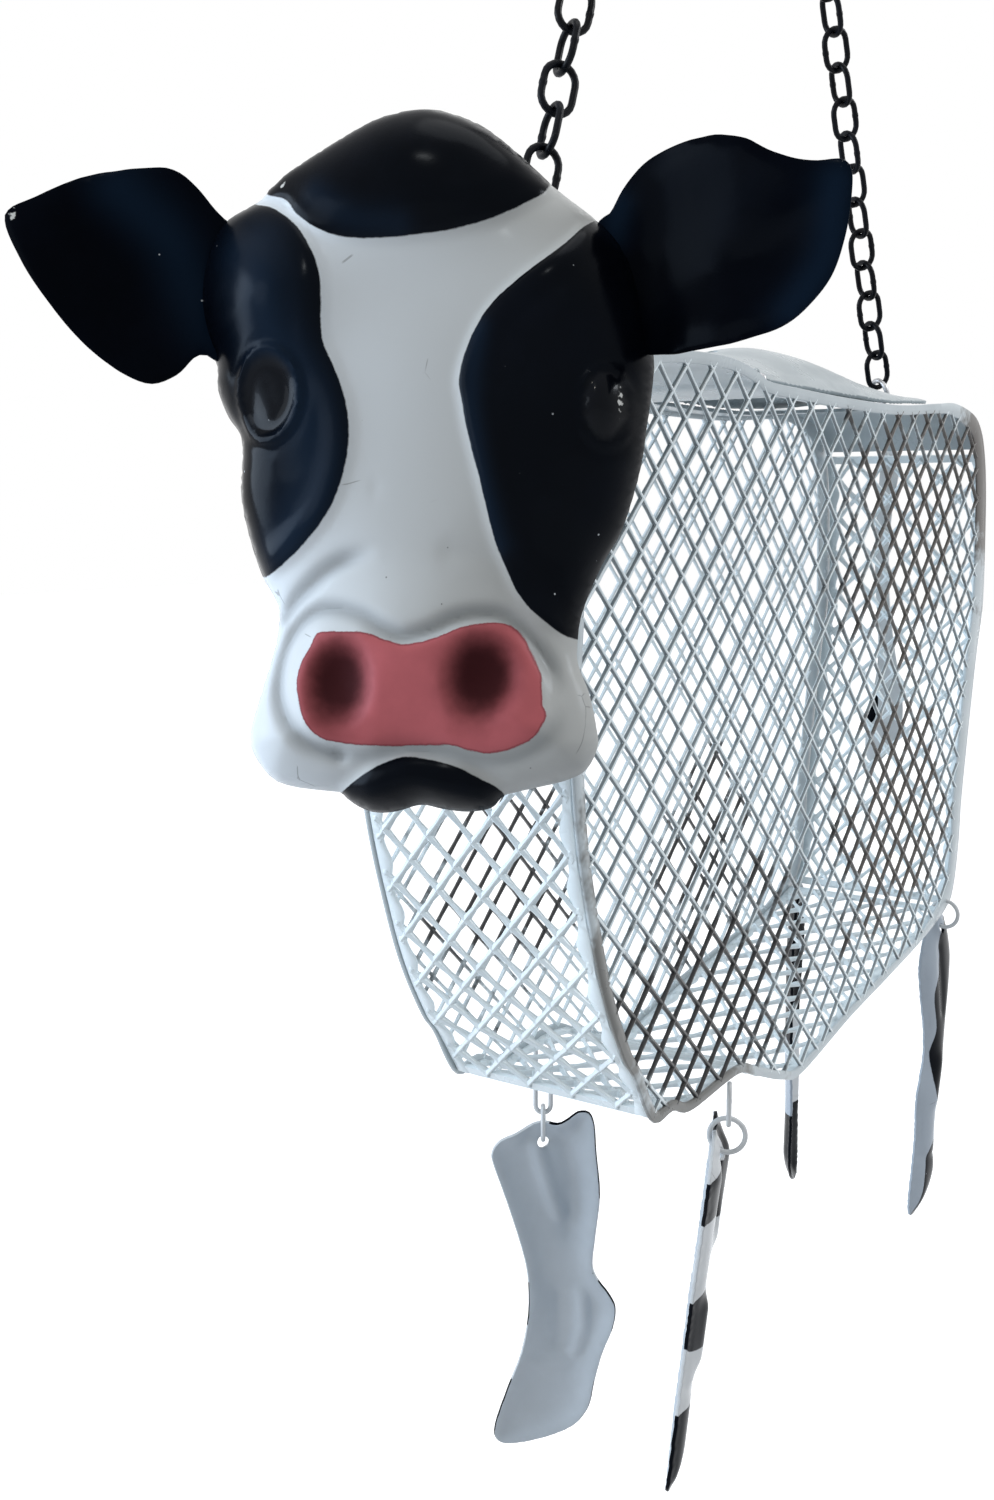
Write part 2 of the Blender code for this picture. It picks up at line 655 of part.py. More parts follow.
def head():
    ring = [(x, z) for x, z in HEAD_HALF] + [(-x, z) for x, z in HEAD_HALF[-2:0:-1]]
    count = len(ring)
    verts = [Vector((0.0, -relief(0.0, 0.0, 0.0), 0.0))]
    for share in HEAD_RINGS:
        for x, z in ring:
            depth = relief(x * share, z * share, share)
            verts.append(Vector((x * share * MM, -depth, z * share * MM)))
    faces = [(0, 1 + (i + 1) % count, 1 + i) for i in range(count)]
    for level in range(len(HEAD_RINGS) - 1):
        for i in range(count):
            j = (i + 1) % count
            low = 1 + level * count
            faces.append((low + i, low + j, low + count + j, low + count + i))
    obj = make("head_shell", sheet_mesh("head_shell", verts, faces, HEAD_SHEET), "white")
    for sign in (1, -1):
        verts = []
        for x, top, low, rise in EAR:
            for j in range(EAR_ACROSS):
                part = j / (EAR_ACROSS - 1)
                bow = EAR_BOW * (1 - (2 * part - 1) ** 2)
                verts.append(Vector((sign * x, -(rise + bow), low + (top - low) * part)) * MM)
        faces = grid_faces(len(EAR), EAR_ACROSS)
        ear = cutter("ear_blank", sheet_mesh("ear_blank", verts, faces, HEAD_SHEET))
        boolean(obj, ear, "UNION")
    obj.data.transform(head_matrix())
    paint(obj, "white")
    obj.data.shade_smooth()
    return obj


def box_mesh(name, low, high):
    mesh = bpy.data.meshes.new(name)
    work = bmesh.new()
    bmesh.ops.create_cube(work, size=1.0)
    for vert in work.verts:
        vert.co = Vector([low[i] + (high[i] - low[i]) * (vert.co[i] + 0.5) for i in range(3)])
    work.to_mesh(mesh)
    work.free()
    return mesh


def head_bar():
    low = (-BAR_HALF, CLEAR + HEAD_SHEET / 2, BAR_AT - BAR_TALL / 2)
    high = (BAR_HALF, CLEAR + HEAD_SHEET / 2 + BAR_THICK, BAR_AT + BAR_TALL / 2)
    obj = make("head_crossbar", box_mesh("head_crossbar", low, high), "steel")
    bevel = obj.modifiers.new("edge", "BEVEL")
    bevel.width = BAR_THICK / 6
    bevel.segments = 1
    apply_modifiers(obj)
    obj.data.transform(head_matrix())
    return obj


def neck():
    """Short tube from the crossbar to the chest, cut to both slopes."""
    head_centre = head_matrix() @ Vector((0.0, 0.0, BAR_AT))
    start = head_centre - Vector((0.0, BODY_WIDTH / 2, 0.0))
    end = head_centre + Vector((0.0, BODY_WIDTH, 0.0))
    over = Vector((0.0, SHEET, 0.0))
    obj = make("neck_tube", rod_mesh("neck_tube", start, end, NECK_RADIUS, ROUND_SIDES), "steel")
    bore = rod_mesh("neck_bore", start - over, end + over, NECK_RADIUS - NECK_WALL, ROUND_SIDES)
    boolean(obj, cutter("neck_bore", bore), "DIFFERENCE")
    size = BODY_WIDTH * 2
    back = CLEAR * 2 + HEAD_SHEET / 2 + BAR_THICK
    front_block = box_mesh("neck_front_cut", (-size, -size, -size), (size, back, size))
    front_block.transform(head_matrix())
    boolean(obj, cutter("neck_front_cut", front_block), "DIFFERENCE")
    low = SIDE_POINTS[-2]
    high = SIDE_POINTS[-1]
    run = (high - low).normalized()
    outward = Vector((0.0, -run.z, run.y))
    block = box_mesh("neck_rear_cut", (-size, -size, -size), (size, size, 0.0))
    rows = Matrix(((1, 0, 0, 0), (0, run.y, outward.y, 0), (0, run.z, outward.z, 0), (0, 0, 0, 1)))
    block.transform(Matrix.Translation(low) @ rows)
    boolean(obj, cutter("neck_rear_cut", block), "DIFFERENCE")
    paint(obj, "steel")
    return obj


def lid():
    """Arched lid with two rolled barrels on its front edge."""
    front = at(LID_FRONT_SHARE, 0.0).y
    rear = at(LID_REAR_SHARE, 0.0).y
    base = back_top(front)
    axis = Vector((0.0, front, base + HINGE_HEIGHT))
    first = front + HINGE_WIRE / 2 + CLEAR + BARREL_WALL / 2
    verts = []
    for share, crown in LID_CROWNS:
        y = first + (rear - first) * share
        for j in range(LID_ACROSS):
            x = LID_HALF_WIDTH * (2 * j / (LID_ACROSS - 1) - 1)
            bow = crown * MM * (1 - (x / LID_HALF_WIDTH) ** 2)
            verts.append(Vector((x, y, back_top(y) + LID_LIFT + bow)))
    faces = grid_faces(len(LID_CROWNS), LID_ACROSS)
    obj = make("lid", sheet_mesh("lid", verts, faces, SHEET), "white")
    inner = HINGE_WIRE / 2 + CLEAR
    outer = inner + BARREL_WALL
    for sign in (1, -1):
        ends = [axis + Vector((sign * x, 0.0, 0.0)) for x in (BARREL_FROM, BARREL_TO)]
        barrel = rod_mesh("lid_barrel", *ends, outer, BARREL_SIDES)
        boolean(obj, cutter("lid_barrel", barrel), "UNION")
    reach = (BARREL_FROM - SHEET, LID_HALF_WIDTH + SHEET)
    for sign in (1, -1):
        ends = [axis + Vector((sign * x, 0.0, 0.0)) for x in reach]
        bore = rod_mesh("lid_bore", *ends, inner, BARREL_SIDES)
        boolean(obj, cutter("lid_bore", bore), "DIFFERENCE")
    spot = Vector((0.0, first + (rear - first) * LID_HOLE_SHARE, base))
    above = spot + Vector((0.0, 0.0, BODY_WIDTH / 2))
    drill = rod_mesh("lid_drill", spot, above, LID_HOLE_RADIUS, BARREL_SIDES)
    boolean(obj, cutter("lid_drill", drill), "DIFFERENCE")
    obj.data.transform(Matrix.Translation(-axis))
    obj.location = axis
    paint(obj, "white")
    return axis


def back_top(y):
    """Height of the back sheet's upper face."""
    points = SIDE_POINTS[TOP_FIRST_INDEX:TOP_LAST_INDEX + 1]
    for low, high in zip(points, points[1:]):
        if low.y <= y <= high.y:
            return low.z + (high.z - low.z) * (y - low.y) / (high.y - low.y) - CLEAR
    return points[0].z


def hinge_wire(axis):
    foot = axis.z - HINGE_HEIGHT + CLEAR * 3
    points = [Vector((-HINGE_HALF, axis.y, foot)), Vector((-HINGE_HALF, axis.y, axis.z - HINGE_WIRE / 3)),
              Vector((-HINGE_HALF + HINGE_WIRE / 3, axis.y, axis.z)),
              Vector((HINGE_HALF - HINGE_WIRE / 3, axis.y, axis.z)),
              Vector((HINGE_HALF, axis.y, axis.z - HINGE_WIRE / 3)), Vector((HINGE_HALF, axis.y, foot))]
    verts, faces = tube(points, HINGE_WIRE / 2, WIRE_SIDES, False)
    make("lid_hinge_wire", mesh_from("lid_hinge_wire", verts, faces), "steel")


def stamped_strip(name, stations, sheet, bow, turn, sign, kind):
    """A stamped leg or tail, bowed to one side, whose weight lies plumb below its hole along its width."""
    verts = []
    for down, middle, half in stations:
        for j in range(LEG_ACROSS):
            part = 2 * j / (LEG_ACROSS - 1) - 1
            deep = -bow * part * part * min(1.0, half * MM / bow / 2)
            verts.append(Vector((sign * deep, (middle + half * part) * MM, -down * MM)))
    mesh = sheet_mesh(name, verts, grid_faces(len(stations), LEG_ACROSS), sheet)
    mesh.transform(Matrix.Translation((0.0, -middle_of_mass(mesh).y, 0.0)))
    obj = make(name, mesh, kind)
    hole = Vector((0.0, 0.0, SMALL_WIRE / 2 + CLEAR - LEG_HOLE))
    reach = Vector((bow * 2, 0.0, 0.0))
    drill = rod_mesh(name + "_drill", hole - reach, hole + reach, LEG_HOLE, HOLE_SIDES)
    boolean(obj, cutter(name + "_drill", drill), "DIFFERENCE")
    obj.data.transform(Matrix.Rotation(turn, 4, "Z"))
    paint(obj, kind)
    return obj


def middle_of_mass(mesh):
    mesh.calc_loop_triangles()
    volume = 0.0
    moment = Vector((0.0, 0.0, 0.0))
    for triangle in mesh.loop_triangles:
        a, b, c = (mesh.vertices[i].co for i in triangle.vertices)
        part = a.dot(b.cross(c)) / 6
        volume += part
        moment += (a + b + c) * (part / 4)
    return moment / volume


def oval_eye(name, start, end, across):
    half = (LEG_EYE_WIDTH - SMALL_WIRE) / 2
    run = (end - start).normalized()
    points = []
    for middle, way in ((end - run * half, 1), (start + run * half, -1)):
        for degrees in EYE_BOW_DEGREES:
            bend = math.radians(degrees)
            points.append(middle + (run * math.cos(bend) + across * math.sin(bend)) * (way * half))
    verts, faces = tube(points, SMALL_WIRE / 2, SMALL_SIDES, True)
    make(name, mesh_from(name, verts, faces), "white")


def hang(name, bearing, turn, lean, outline, sheet, bow, sign, kind):
    """A ring on the edge at bearing, and a stamped piece on it. Each origin lies on its joint axis."""
    plane = Vector((-math.sin(turn), math.cos(turn), 0.0))
    normal = Vector((math.cos(turn), math.sin(turn), 0.0))
    upright = Vector((0.0, 0.0, 1.0))
    tilt = Matrix.Rotation(lean, 4, plane)
    centre = upright * (SMALL_WIRE + CLEAR - SMALL_RING)
    loop = circle_points(centre, SMALL_RING, normal, upright, SMALL_RING_STEPS)
    verts, faces = tube(loop, SMALL_WIRE / 2, SMALL_SIDES, True)
    ring = make(name + "_ring", mesh_from(name + "_ring", verts, faces), "white")
    ring.data.transform(tilt)
    ring.location = bearing
    low = centre - upright * SMALL_RING
    piece = stamped_strip(name, outline, sheet, bow, turn, sign, kind)
    piece.data.transform(tilt)
    piece.location = bearing + tilt.to_3x3() @ low


def side_bottom(share_along):
    """Height of the side's lower edge at a place along the length."""
    y = at(share_along, 0.0).y
    points = SIDE_POINTS[REAR_LAST_INDEX - 1:BELLY_LAST_INDEX + 1]
    for low, high in zip(points, points[1:]):
        if high.y <= y <= low.y:
            return low.z + (high.z - low.z) * (y - low.y) / (high.y - low.y)
    return points[0].z


def front_leg(name, side, turn, lean, eye_tall):
    reach = LEG_EYE_WIDTH / 2 / BODY_LENGTH
    low = min(side_bottom(FRONT_LEG_AT + step * reach) for step in (-1, 0, 1))
    edge = Vector((side * (BODY_WIDTH - SHEET) / 2, at(FRONT_LEG_AT, 0.0).y, low))
    start = edge - Vector((0.0, 0.0, CLEAR + SMALL_WIRE / 2))
    end = start - Vector((0.0, 0.0, eye_tall - SMALL_WIRE))
    oval_eye(name + "_eye", start, end, Vector((-math.sin(turn), math.cos(turn), 0.0)))
    hang(name, end, turn, lean, FRONT_LEG, LEG_SHEET, LEG_BOW, side, "white")


def rear_leg(name, side, outline):
    """A leg whose ring goes through the hole at the side's lower rear corner."""
    lip = at(*REAR_HOLE_AT) - Vector((0.0, 0.0, LEG_HOLE + SMALL_WIRE / 2))
    lip.x = side * (BODY_WIDTH - SHEET) / 2
    hang(name, lip, 0.0, 0.0, outline, LEG_SHEET, LEG_BOW, side, "white")


side_panel("side_panel_left", 1)
side_panel("side_panel_right", -1)
filler = [(FILLER_FROM_SHARE, FILLER_HALF_WIDTH), (FILLER_TO_SHARE, FILLER_HALF_WIDTH),
          (FILLER_TO_SHARE, -FILLER_HALF_WIDTH), (FILLER_FROM_SHARE, -FILLER_HALF_WIDTH)]
top_points = SIDE_POINTS[TOP_FIRST_INDEX:TOP_LAST_INDEX + 1]
top_path = inset_path(top_points, SHEET / 2 + CLEAR)
filler_hole = []
for along_share, half_width in filler:
    target = at(along_share, 0.0).y
    run_length = 0.0
    for here, there in zip(top_path, top_path[1:]):
        if here.y <= target <= there.y:
            run_length += (there - here).length * (target - here.y) / (there.y - here.y)
            break
        run_length += (there - here).length
    filler_hole.append((run_length, half_width))
strip("back_sheet", top_points, False, [filler_hole], 0.0, CORNER_GAP)
rear_points = SIDE_POINTS[TOP_LAST_INDEX:REAR_LAST_INDEX + 1]
belly_points = SIDE_POINTS[REAR_LAST_INDEX:BELLY_LAST_INDEX + 1]
strip("rear_net", rear_points, True, [], path_length(rear_points), CORNER_GAP)
strip("belly_net", belly_points, True, [], path_length(belly_points), RING_SLOT)
chest_points = SIDE_POINTS[BELLY_LAST_INDEX:] + SIDE_POINTS[:1]
solid_from = CHEST_NET_SHARE * path_length(chest_points)
strip("chest_net", chest_points, True, [], solid_from, CORNER_GAP)
hook()
hanging_ring()
front_eye = at(*FRONT_EYE_AT)
rear_eye = at(*REAR_EYE_AT)
front_along, front_across = chain("front_chain", front_eye, FRONT_LINKS)
rear_along, rear_across = chain("rear_chain", rear_eye, REAR_LINKS)
front_out = outward_of(SIDE_POINTS[-1], SIDE_POINTS[0])
rear_out = outward_of(SIDE_POINTS[REAR_EYE_EDGE_INDEX], SIDE_POINTS[REAR_EYE_EDGE_INDEX + 1])
eye_bolt("front_chain_eye", front_eye, at(*FRONT_FOOT_AT), front_out, front_along, front_across)
eye_bolt("rear_chain_eye", rear_eye, at(*REAR_FOOT_AT), rear_out, rear_along, rear_across)
head()
head_bar()
neck()
lid_axis = lid()
hinge_wire(lid_axis)
front_leg("front_left_leg", 1, FRONT_LEFT_TURN, FRONT_LEFT_LEAN, LEFT_EYE_TALL)
front_leg("front_right_leg", -1, FRONT_RIGHT_TURN, 0.0, RIGHT_EYE_TALL)
rear_leg("rear_left_leg", 1, REAR_LEG)
far_leg = [(down * FAR_LEG_STRETCH, -middle, half) for down, middle, half in REAR_LEG]
rear_leg("rear_right_leg", -1, far_leg)
tail_start = at(*TAIL_AT) + Vector((TAIL_ASIDE, 0.0, 0.0))
tail_end = tail_start + Vector((0.0, TAIL_OUT, 0.0))
oval_eye("tail_eye", tail_start, tail_end, Vector((1.0, 0.0, 0.0)))
hang("tail", tail_end, math.pi / 2, 0.0, TAIL, TAIL_SHEET, LEG_BOW / 3, -1, "white")
bpy.context.view_layer.update()
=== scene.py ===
import math

import bmesh
import bpy
import numpy as np
from mathutils import Matrix, Vector
from mathutils.geometry import delaunay_2d_cdt


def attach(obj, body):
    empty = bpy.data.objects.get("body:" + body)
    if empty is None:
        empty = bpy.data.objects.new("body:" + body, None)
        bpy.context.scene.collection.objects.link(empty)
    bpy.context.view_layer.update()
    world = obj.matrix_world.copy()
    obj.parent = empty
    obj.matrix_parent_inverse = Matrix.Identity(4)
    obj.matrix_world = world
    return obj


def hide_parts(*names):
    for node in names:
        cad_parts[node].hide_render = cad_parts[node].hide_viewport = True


# Hanging bird feeder in the shape of a cow. Metres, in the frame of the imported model.
MM = 0.001

# Camera, and the photograph's own pixel frame
CAMERA_AT = Vector((0.188, -0.37448, -0.36214))
CAMERA_TURN = math.radians(34.193)
CAMERA_DIP = math.radians(8.961)
PICTURE_FOCAL = 1560.0
PICTURE_MIDDLE = (497.0, 750.0)
PICTURE_TALL = 1500.0

# Body
BODY_LENGTH = 264.6 * MM
BODY_HEIGHT = 186.6 * MM
BODY_HALF = 28.0 * MM
FRONT_Y = -0.11285
BASE_Z = -0.5158
HANG_Z = -0.0695
SHEET = 1.0 * MM
CLEAR = 0.3 * MM
# Edges sharper than this stay sharp on stamped sheets, in degrees
SHEET_ANGLE = 50
# Spacing of the points of the stamped sheets, in millimetres
FACE_STEP = 0.95
EAR_STEP = 1.25
HUNG_STEP = 1.15
LID_STEP = 1.5
BACK_STEP = 1.6
BAR_STEP = 1.1

# Outline of the side, front top corner first, over the back and round: along the length, up the height
SIDE = (
    (0.1221, 0.9897), (0.1366, 0.9955), (0.1995, 1.0000), (0.2654, 0.9991), (0.3162, 0.9871),
    (0.3404, 0.9780), (0.4051, 0.9751), (0.5290, 0.9717), (0.6717, 0.9726), (0.8000, 0.9840),
    (0.8615, 0.9880), (0.9299, 0.9743), (0.9600, 0.9500), (0.9758, 0.9168), (0.9870, 0.8700),
    (0.9946, 0.7976), (1.0000, 0.6518), (0.9849, 0.5660), (0.9722, 0.4803), (0.9504, 0.3087),
    (0.9462, 0.2230), (0.9341, 0.1458), (0.9099, 0.1115), (0.8253, 0.0823), (0.6959, 0.0540),
    (0.5919, 0.0334), (0.4625, 0.0000), (0.4141, 0.0111), (0.3501, 0.0455), (0.3071, 0.0660),
    (0.2122, 0.0600), (0.1778, 0.0763), (0.1415, 0.0780), (0.1082, 0.1492), (0.0895, 0.1810),
    (0.0568, 0.2659), (0.0308, 0.3688), (0.0145, 0.4520), (0.0067, 0.5197), (0.0000, 0.6089),
    (0.0030, 0.6947), (0.0121, 0.7504), (0.0846, 0.9305))
# Width of the side's solid rim after each of those points, in millimetres
RIMS = (
    3.0, 2.8, 2.8, 2.8, 2.8, 2.8, 2.8, 2.8, 2.8, 3.0, 4.0, 6.0, 8.0, 8.5, 9.0, 9.5, 9.5, 9.0, 8.5, 8.0,
    7.0, 7.0, 7.0, 2.4, 2.4, 2.4, 2.4, 2.4, 2.4, 2.4, 2.4, 2.6, 2.8, 2.8, 3.0, 3.2, 3.4, 3.6, 4.0, 4.2,
    4.2, 4.0, 3.4)
TOP_LAST = 13
REAR_LAST = 22
BELLY_LAST = 32

# Expanded metal
SIDE_LONG = 12.5 * MM
SIDE_TALL = 11.3 * MM
STRIP_LONG = 13.3 * MM
STRIP_TALL = 12.0 * MM
# Strand: depth, width, how much it swells at the knots, lean of its depth, half sizes of its knots
SIDE_STRAND = (0.95 * MM, 0.72 * MM, 0.25, math.radians(14.0), (1.3, 0.56, 1.1))
STRIP_STRAND = (1.25 * MM, 0.95 * MM, 0.6, math.radians(30.0), (1.6, 0.8, 1.2))
SIDE_START = 1.0 * MM
STRIP_START = 2.0 * MM
SHORTEST_STRAND = 0.08
# How far the strands reach into the rim, and how strong the painted shade on the cut faces of the far net and
# of the strips is
RIM_HOLD = 0.9 * MM
FAR_CUT_SHADE = 0.3
STRIP_CUT_SHADE = 0.15
# How far the strips stop short of each other, and how deep their solid edges wave
STRIP_END = 1.2 * MM
BELLY_END = 2.7 * MM
SCALLOP = 1.3 * MM
# Widths and points' spacing of those solid edges, and how far within them the net starts
STRIP_RIM = 2.4 * MM
STRIP_MARGIN = 1.5 * MM
WAVE_STEP = 1.4 * MM
BAND_STEP = 2.5 * MM
CHEST_NET_SHARE = 0.70

# Head
HEAD_TURN = math.radians(23.7)
HEAD_LEAN = math.radians(8.0)
HEAD_MIDDLE = Vector((0.0, -0.12005, -0.3542))
HEAD_SHEET = 0.9 * MM
# Edge rounding of the head's sheets and of the hung ones
HEAD_EDGE = 0.22 * MM
HUNG_EDGE = 0.2 * MM
# The next ones are in millimetres: the rim's rise at the muzzle and where it starts and over what height, the
# height of the face's dome and how far in from the edge it rises, and one pixel's size on the face
MUZZLE_RIM = 8.0
MUZZLE_FROM = 18.0
MUZZLE_OVER = 34.0
HEAD_DOME = 14.0
HEAD_ROUNDING = 29.0
PIXEL = 0.2
# Swellings and hollows: across, up, half sizes and rise, on both sides of the face, then in its middle
PAIRED_SWELLINGS = (
    (31.0, 30.0, 11.0, 11.0, 3.8), (32.0, 8.0, 11.0, 13.0, 2.2), (24.0, -57.0, 10.0, 8.0, 2.0))
MIDDLE_SWELLINGS = (
    (0.0, 60.0, 18.0, 9.0, 1.6), (0.0, 36.0, 16.0, 12.0, -1.6), (0.0, -32.0, 15.0, 12.0, 2.0))
# How far the ears come forward, by their distance from the head's middle
EAR_ACROSS = (30.0, 38.0, 44.0, 50.0, 58.0, 66.0, 73.0, 82.0)
EAR_RISE = (1.0, 2.5, 5.5, 10.0, 15.0, 18.0, 19.6, 20.6)

# Outlines of the head's painted forms, in pixels of the photograph
FACE_EDGE = (
    (273, 195), (306, 172), (351, 144), (383, 126), (415, 118), (446, 118), (485, 132), (519, 158),
    (551, 186), (573, 203), (595, 220), (614, 238), (630, 264), (642, 300), (650, 335), (655, 362),
    (653, 392), (648, 427), (641, 472), (623, 531), (604, 564), (584, 611), (579, 640), (579, 664),
    (590, 693), (598, 731), (598, 749), (587, 770), (566, 781), (528, 790), (505, 796), (493, 808),
    (469, 812), (443, 809), (422, 805), (396, 812), (373, 812), (352, 802), (342, 792), (337, 792),
    (296, 787), (273, 778), (254, 752), (252, 731), (258, 708), (276, 649), (280, 623), (279, 605),
    (264, 577), (252, 541), (243, 497), (244, 443), (230, 418), (220, 392), (219, 367), (209, 345),
    (203, 310), (206, 275), (215, 245), (231, 222), (258, 206))
CREST_PATCH = (
    (260, 190), (306, 150), (351, 124), (415, 98), (446, 98), (500, 122), (540, 150), (551, 186),
    (519, 208), (485, 222), (450, 231), (399, 238), (351, 239), (319, 230), (297, 214), (287, 201))
LEFT_PATCH = (
    (258, 206), (277, 211), (300, 230), (316, 259), (322, 287), (322, 318), (324, 343), (335, 367),
    (346, 399), (350, 430), (346, 467), (331, 509), (308, 541), (285, 564), (264, 577), (240, 560),
    (225, 500), (225, 440), (200, 400), (190, 340), (190, 260), (220, 215), (240, 205))
RIGHT_PATCH = (
    (592, 222), (564, 246), (526, 274), (492, 305), (471, 340), (460, 378), (463, 402), (467, 427),
    (474, 455), (481, 482), (493, 532), (502, 558), (519, 594), (543, 620), (578, 640), (600, 620),
    (640, 540), (670, 440), (680, 340), (660, 260), (620, 215))
NOSE_PATCH = (
    (320, 633), (346, 632), (367, 633), (396, 643), (411, 644), (431, 639), (463, 627), (484, 623),
    (502, 623), (513, 627), (525, 641), (537, 664), (543, 682), (543, 705), (547, 717), (537, 734),
    (522, 745), (493, 753), (472, 751), (449, 745), (411, 746), (367, 746), (337, 742), (320, 737),
    (305, 720), (298, 687), (302, 664), (312, 646))
CHIN_PATCH = (
    (342, 792), (358, 778), (378, 765), (402, 757), (425, 759), (455, 767), (484, 781), (505, 796),
    (500, 830), (440, 840), (370, 835), (340, 805))
LEFT_EAR = (
    (3, 214), (35, 195), (80, 176), (128, 168), (159, 166), (179, 172), (198, 188), (217, 211),
    (233, 224), (262, 232), (268, 290), (255, 345), (222, 362), (207, 354), (195, 357), (179, 373),
    (156, 383), (137, 380), (112, 367), (80, 341), (48, 303), (19, 259))
RIGHT_EAR = (
    (599, 220), (610, 212), (623, 188), (644, 163), (672, 146), (707, 134), (728, 133), (748, 137),
    (769, 148), (797, 157), (818, 159), (842, 157), (852, 167), (852, 194), (846, 233), (832, 274),
    (807, 306), (780, 326), (738, 340), (693, 350), (662, 354), (634, 348), (606, 300), (590, 250))
# Ovals: their middles and half sizes. The eyes' sockets and balls also have a depth and a rise in millimetres
EYES = ((269.0, 396.0, 29.5, 46.5), (606.0, 407.0, 26.0, 40.0))
EYE_DEPTHS = (1.5, 1.2)
EYE_BALLS = (0.7, 3.6)
EYE_RING = 1.0
NOSTRILS = ((341.0, 684.0, 38.0, 51.0), (484.0, 680.0, 42.0, 49.0))
NOSTRIL_DEPTH = 4.4
NOSTRIL_SHADOW = (10.6, 14.2)
NOSE_FOLD = ((284, 616), (296, 599), (320, 575), (340, 562), (362, 555), (380, 552))
NOSE_GROOVE = (
    (337, 755), (308, 745), (291, 730), (281, 712), (277, 690), (280, 664), (288, 641), (300, 623),
    (315, 612), (334, 609), (360, 615), (382, 628), (404, 636), (430, 630), (452, 619), (475, 614),
    (500, 615), (519, 627), (538, 649), (552, 671), (558, 688), (559, 706))
LIP_GROOVE = ((340, 754), (367, 756), (400, 748), (440, 750), (480, 760), (520, 756), (550, 735), (558, 700))
# Their half width and depth in millimetres and the strength of the painted shade in them, and how their ends
# fade
GROOVES = ((NOSE_GROOVE, 1.4, 2.1, 0.5), (LIP_GROOVE, 1.8, 1.1, 0.36), (NOSE_FOLD, 1.6, 2.0, 0.5))
GROOVE_FADE = 9.0
DENT = (375.0, 488.0)
# Relief of the face's patches, in millimetres: its rise, how far outside the edge it starts, over what width
PATCH_LIP = (1.5, 1.4, 2.4)
PATCH_HOLLOW = (0.7, -2.5, 4.0)
CREST_LIP = (1.6, 1.4, 2.4)
CREST_DOME = (1.6, 0.0, 7.0)
NOSE_PAD = (1.1, 1.6, 1.6)
# Chips of the paint: place and half sizes, on the left ear, on the right ear, then on the face; the last one,
# on the right eye, is a painted glint
CHIPS_AND_GLINT = ((11.0, 213.0, 4.0, 6.0), (845.0, 164.0, 4.0, 5.0), (287.0, 188.0, 3.0, 4.0),
         (621.0, 402.0, 1.5, 17.0))
# Painted sheen on the black paint, in dark blue: points of a line, its half width in millimetres and its
# strength
NAVY_SHEEN_FACE = (
    (((252, 250), (268, 330), (300, 400), (312, 480), (290, 545)), 7.0, 1.0),
    (((480, 330), (473, 400), (484, 480), (502, 545)), 2.2, 0.7),
    (((318, 196), (350, 220), (400, 228)), 3.0, 0.6))
NAVY_SHEEN_LEFT_EAR = ((((120, 190), (165, 235), (190, 285), (216, 335)), 5.5, 0.9),)
NAVY_SHEEN_RIGHT_EAR = ((((838, 180), (830, 255), (795, 310)), 4.0, 0.8), (((618, 205), (612, 235)), 3.0, 0.9))

# Hook, ring and chains
HOOK_WIRE = 3.0 * MM
HOOK_TOP_BOW = 10.0 * MM
HOOK_LOW_BOW = 8.0 * MM
HOOK_TOP_Z = HOOK_WIRE / 2 - HOOK_TOP_BOW
HOOK_LOW_Z = HOOK_TOP_Z - 45.0 * MM
# Its bows: radius, middle's height, turns from and to in degrees, steps. Its tips narrow by these shares
HOOK_BOWS = ((HOOK_TOP_BOW, HOOK_TOP_Z, -25.0, 180.0, 28), (HOOK_LOW_BOW, HOOK_LOW_Z, 0.0, -220.0, 30))
HOOK_TIPS = [0.55, 0.86]
RING_WIRE = 2.4 * MM
RING_RADIUS = 11.0 * MM
RING_WELD = math.pi * 1.35
CHAIN_WIRE = 1.6 * MM
LINK_WIRE = 1.66 * MM
LINK_WIDTH = 9.1 * MM
LINK_BITE = 0.15 * MM
LINK_LONGER = 0.11 * MM
# A link's weld, in the middle of one side: its points along the link, and its thickness there
LINK_WELD_AT = (0.7 * MM, 0.3 * MM, -0.3 * MM, -0.7 * MM)
LINK_WELD_SWELL = [1.0, 1.13, 1.13, 1.0]
# A ring's weld: how much thicker, and its half length
RING_WELD_SWELL = 0.1
RING_WELD_HALF = 0.7 * MM
FRONT_LINKS = 27
REAR_LINKS = 28
CHAIN_TWIST = math.radians(4.0)
TWISTED_LINKS = 8
EYE_RADIUS = 3.6 * MM
EYE_WIRE = 1.6 * MM
EYE_FOOT_RADIUS = 4.0 * MM
EYE_FOOT_TALL = 1.2 * MM
EYE_SHANK_RADIUS = 1.12 * MM
EYE_FOOT_EDGE = 0.35 * MM
EYE_BEAD_WIRE = 1.1 * MM
EYE_BEAD_OUT = 0.3 * MM
FRONT_EYE_AT = (0.0738, 1.0163)
REAR_EYE_AT = (0.8906, 1.0163)
FRONT_FOOT_AT = (0.1094, 0.9700)
REAR_FOOT_AT = (0.8906, 0.9822)

# Legs and tail
HOLE_SIDES = 18
SMALL_WIRE = 1.3 * MM
SMALL_RING = 4.5 * MM
LEG_HOLE = 1.5 * MM
HOLE_DROP = 0.55
LEG_BOW = 3.2
HUNG_ROUNDING = 8.5
# The nearest leg's sheet is flat this far round its hole, in millimetres, and bows over the next few, so that
# its ring and its eye pass its shoulder when it swings
FLAT_AT_HOLE = {"front_right_leg": 4.5}
FLAT_FADE = 3.0
LEG_EYE_WIDTH = 5.4 * MM
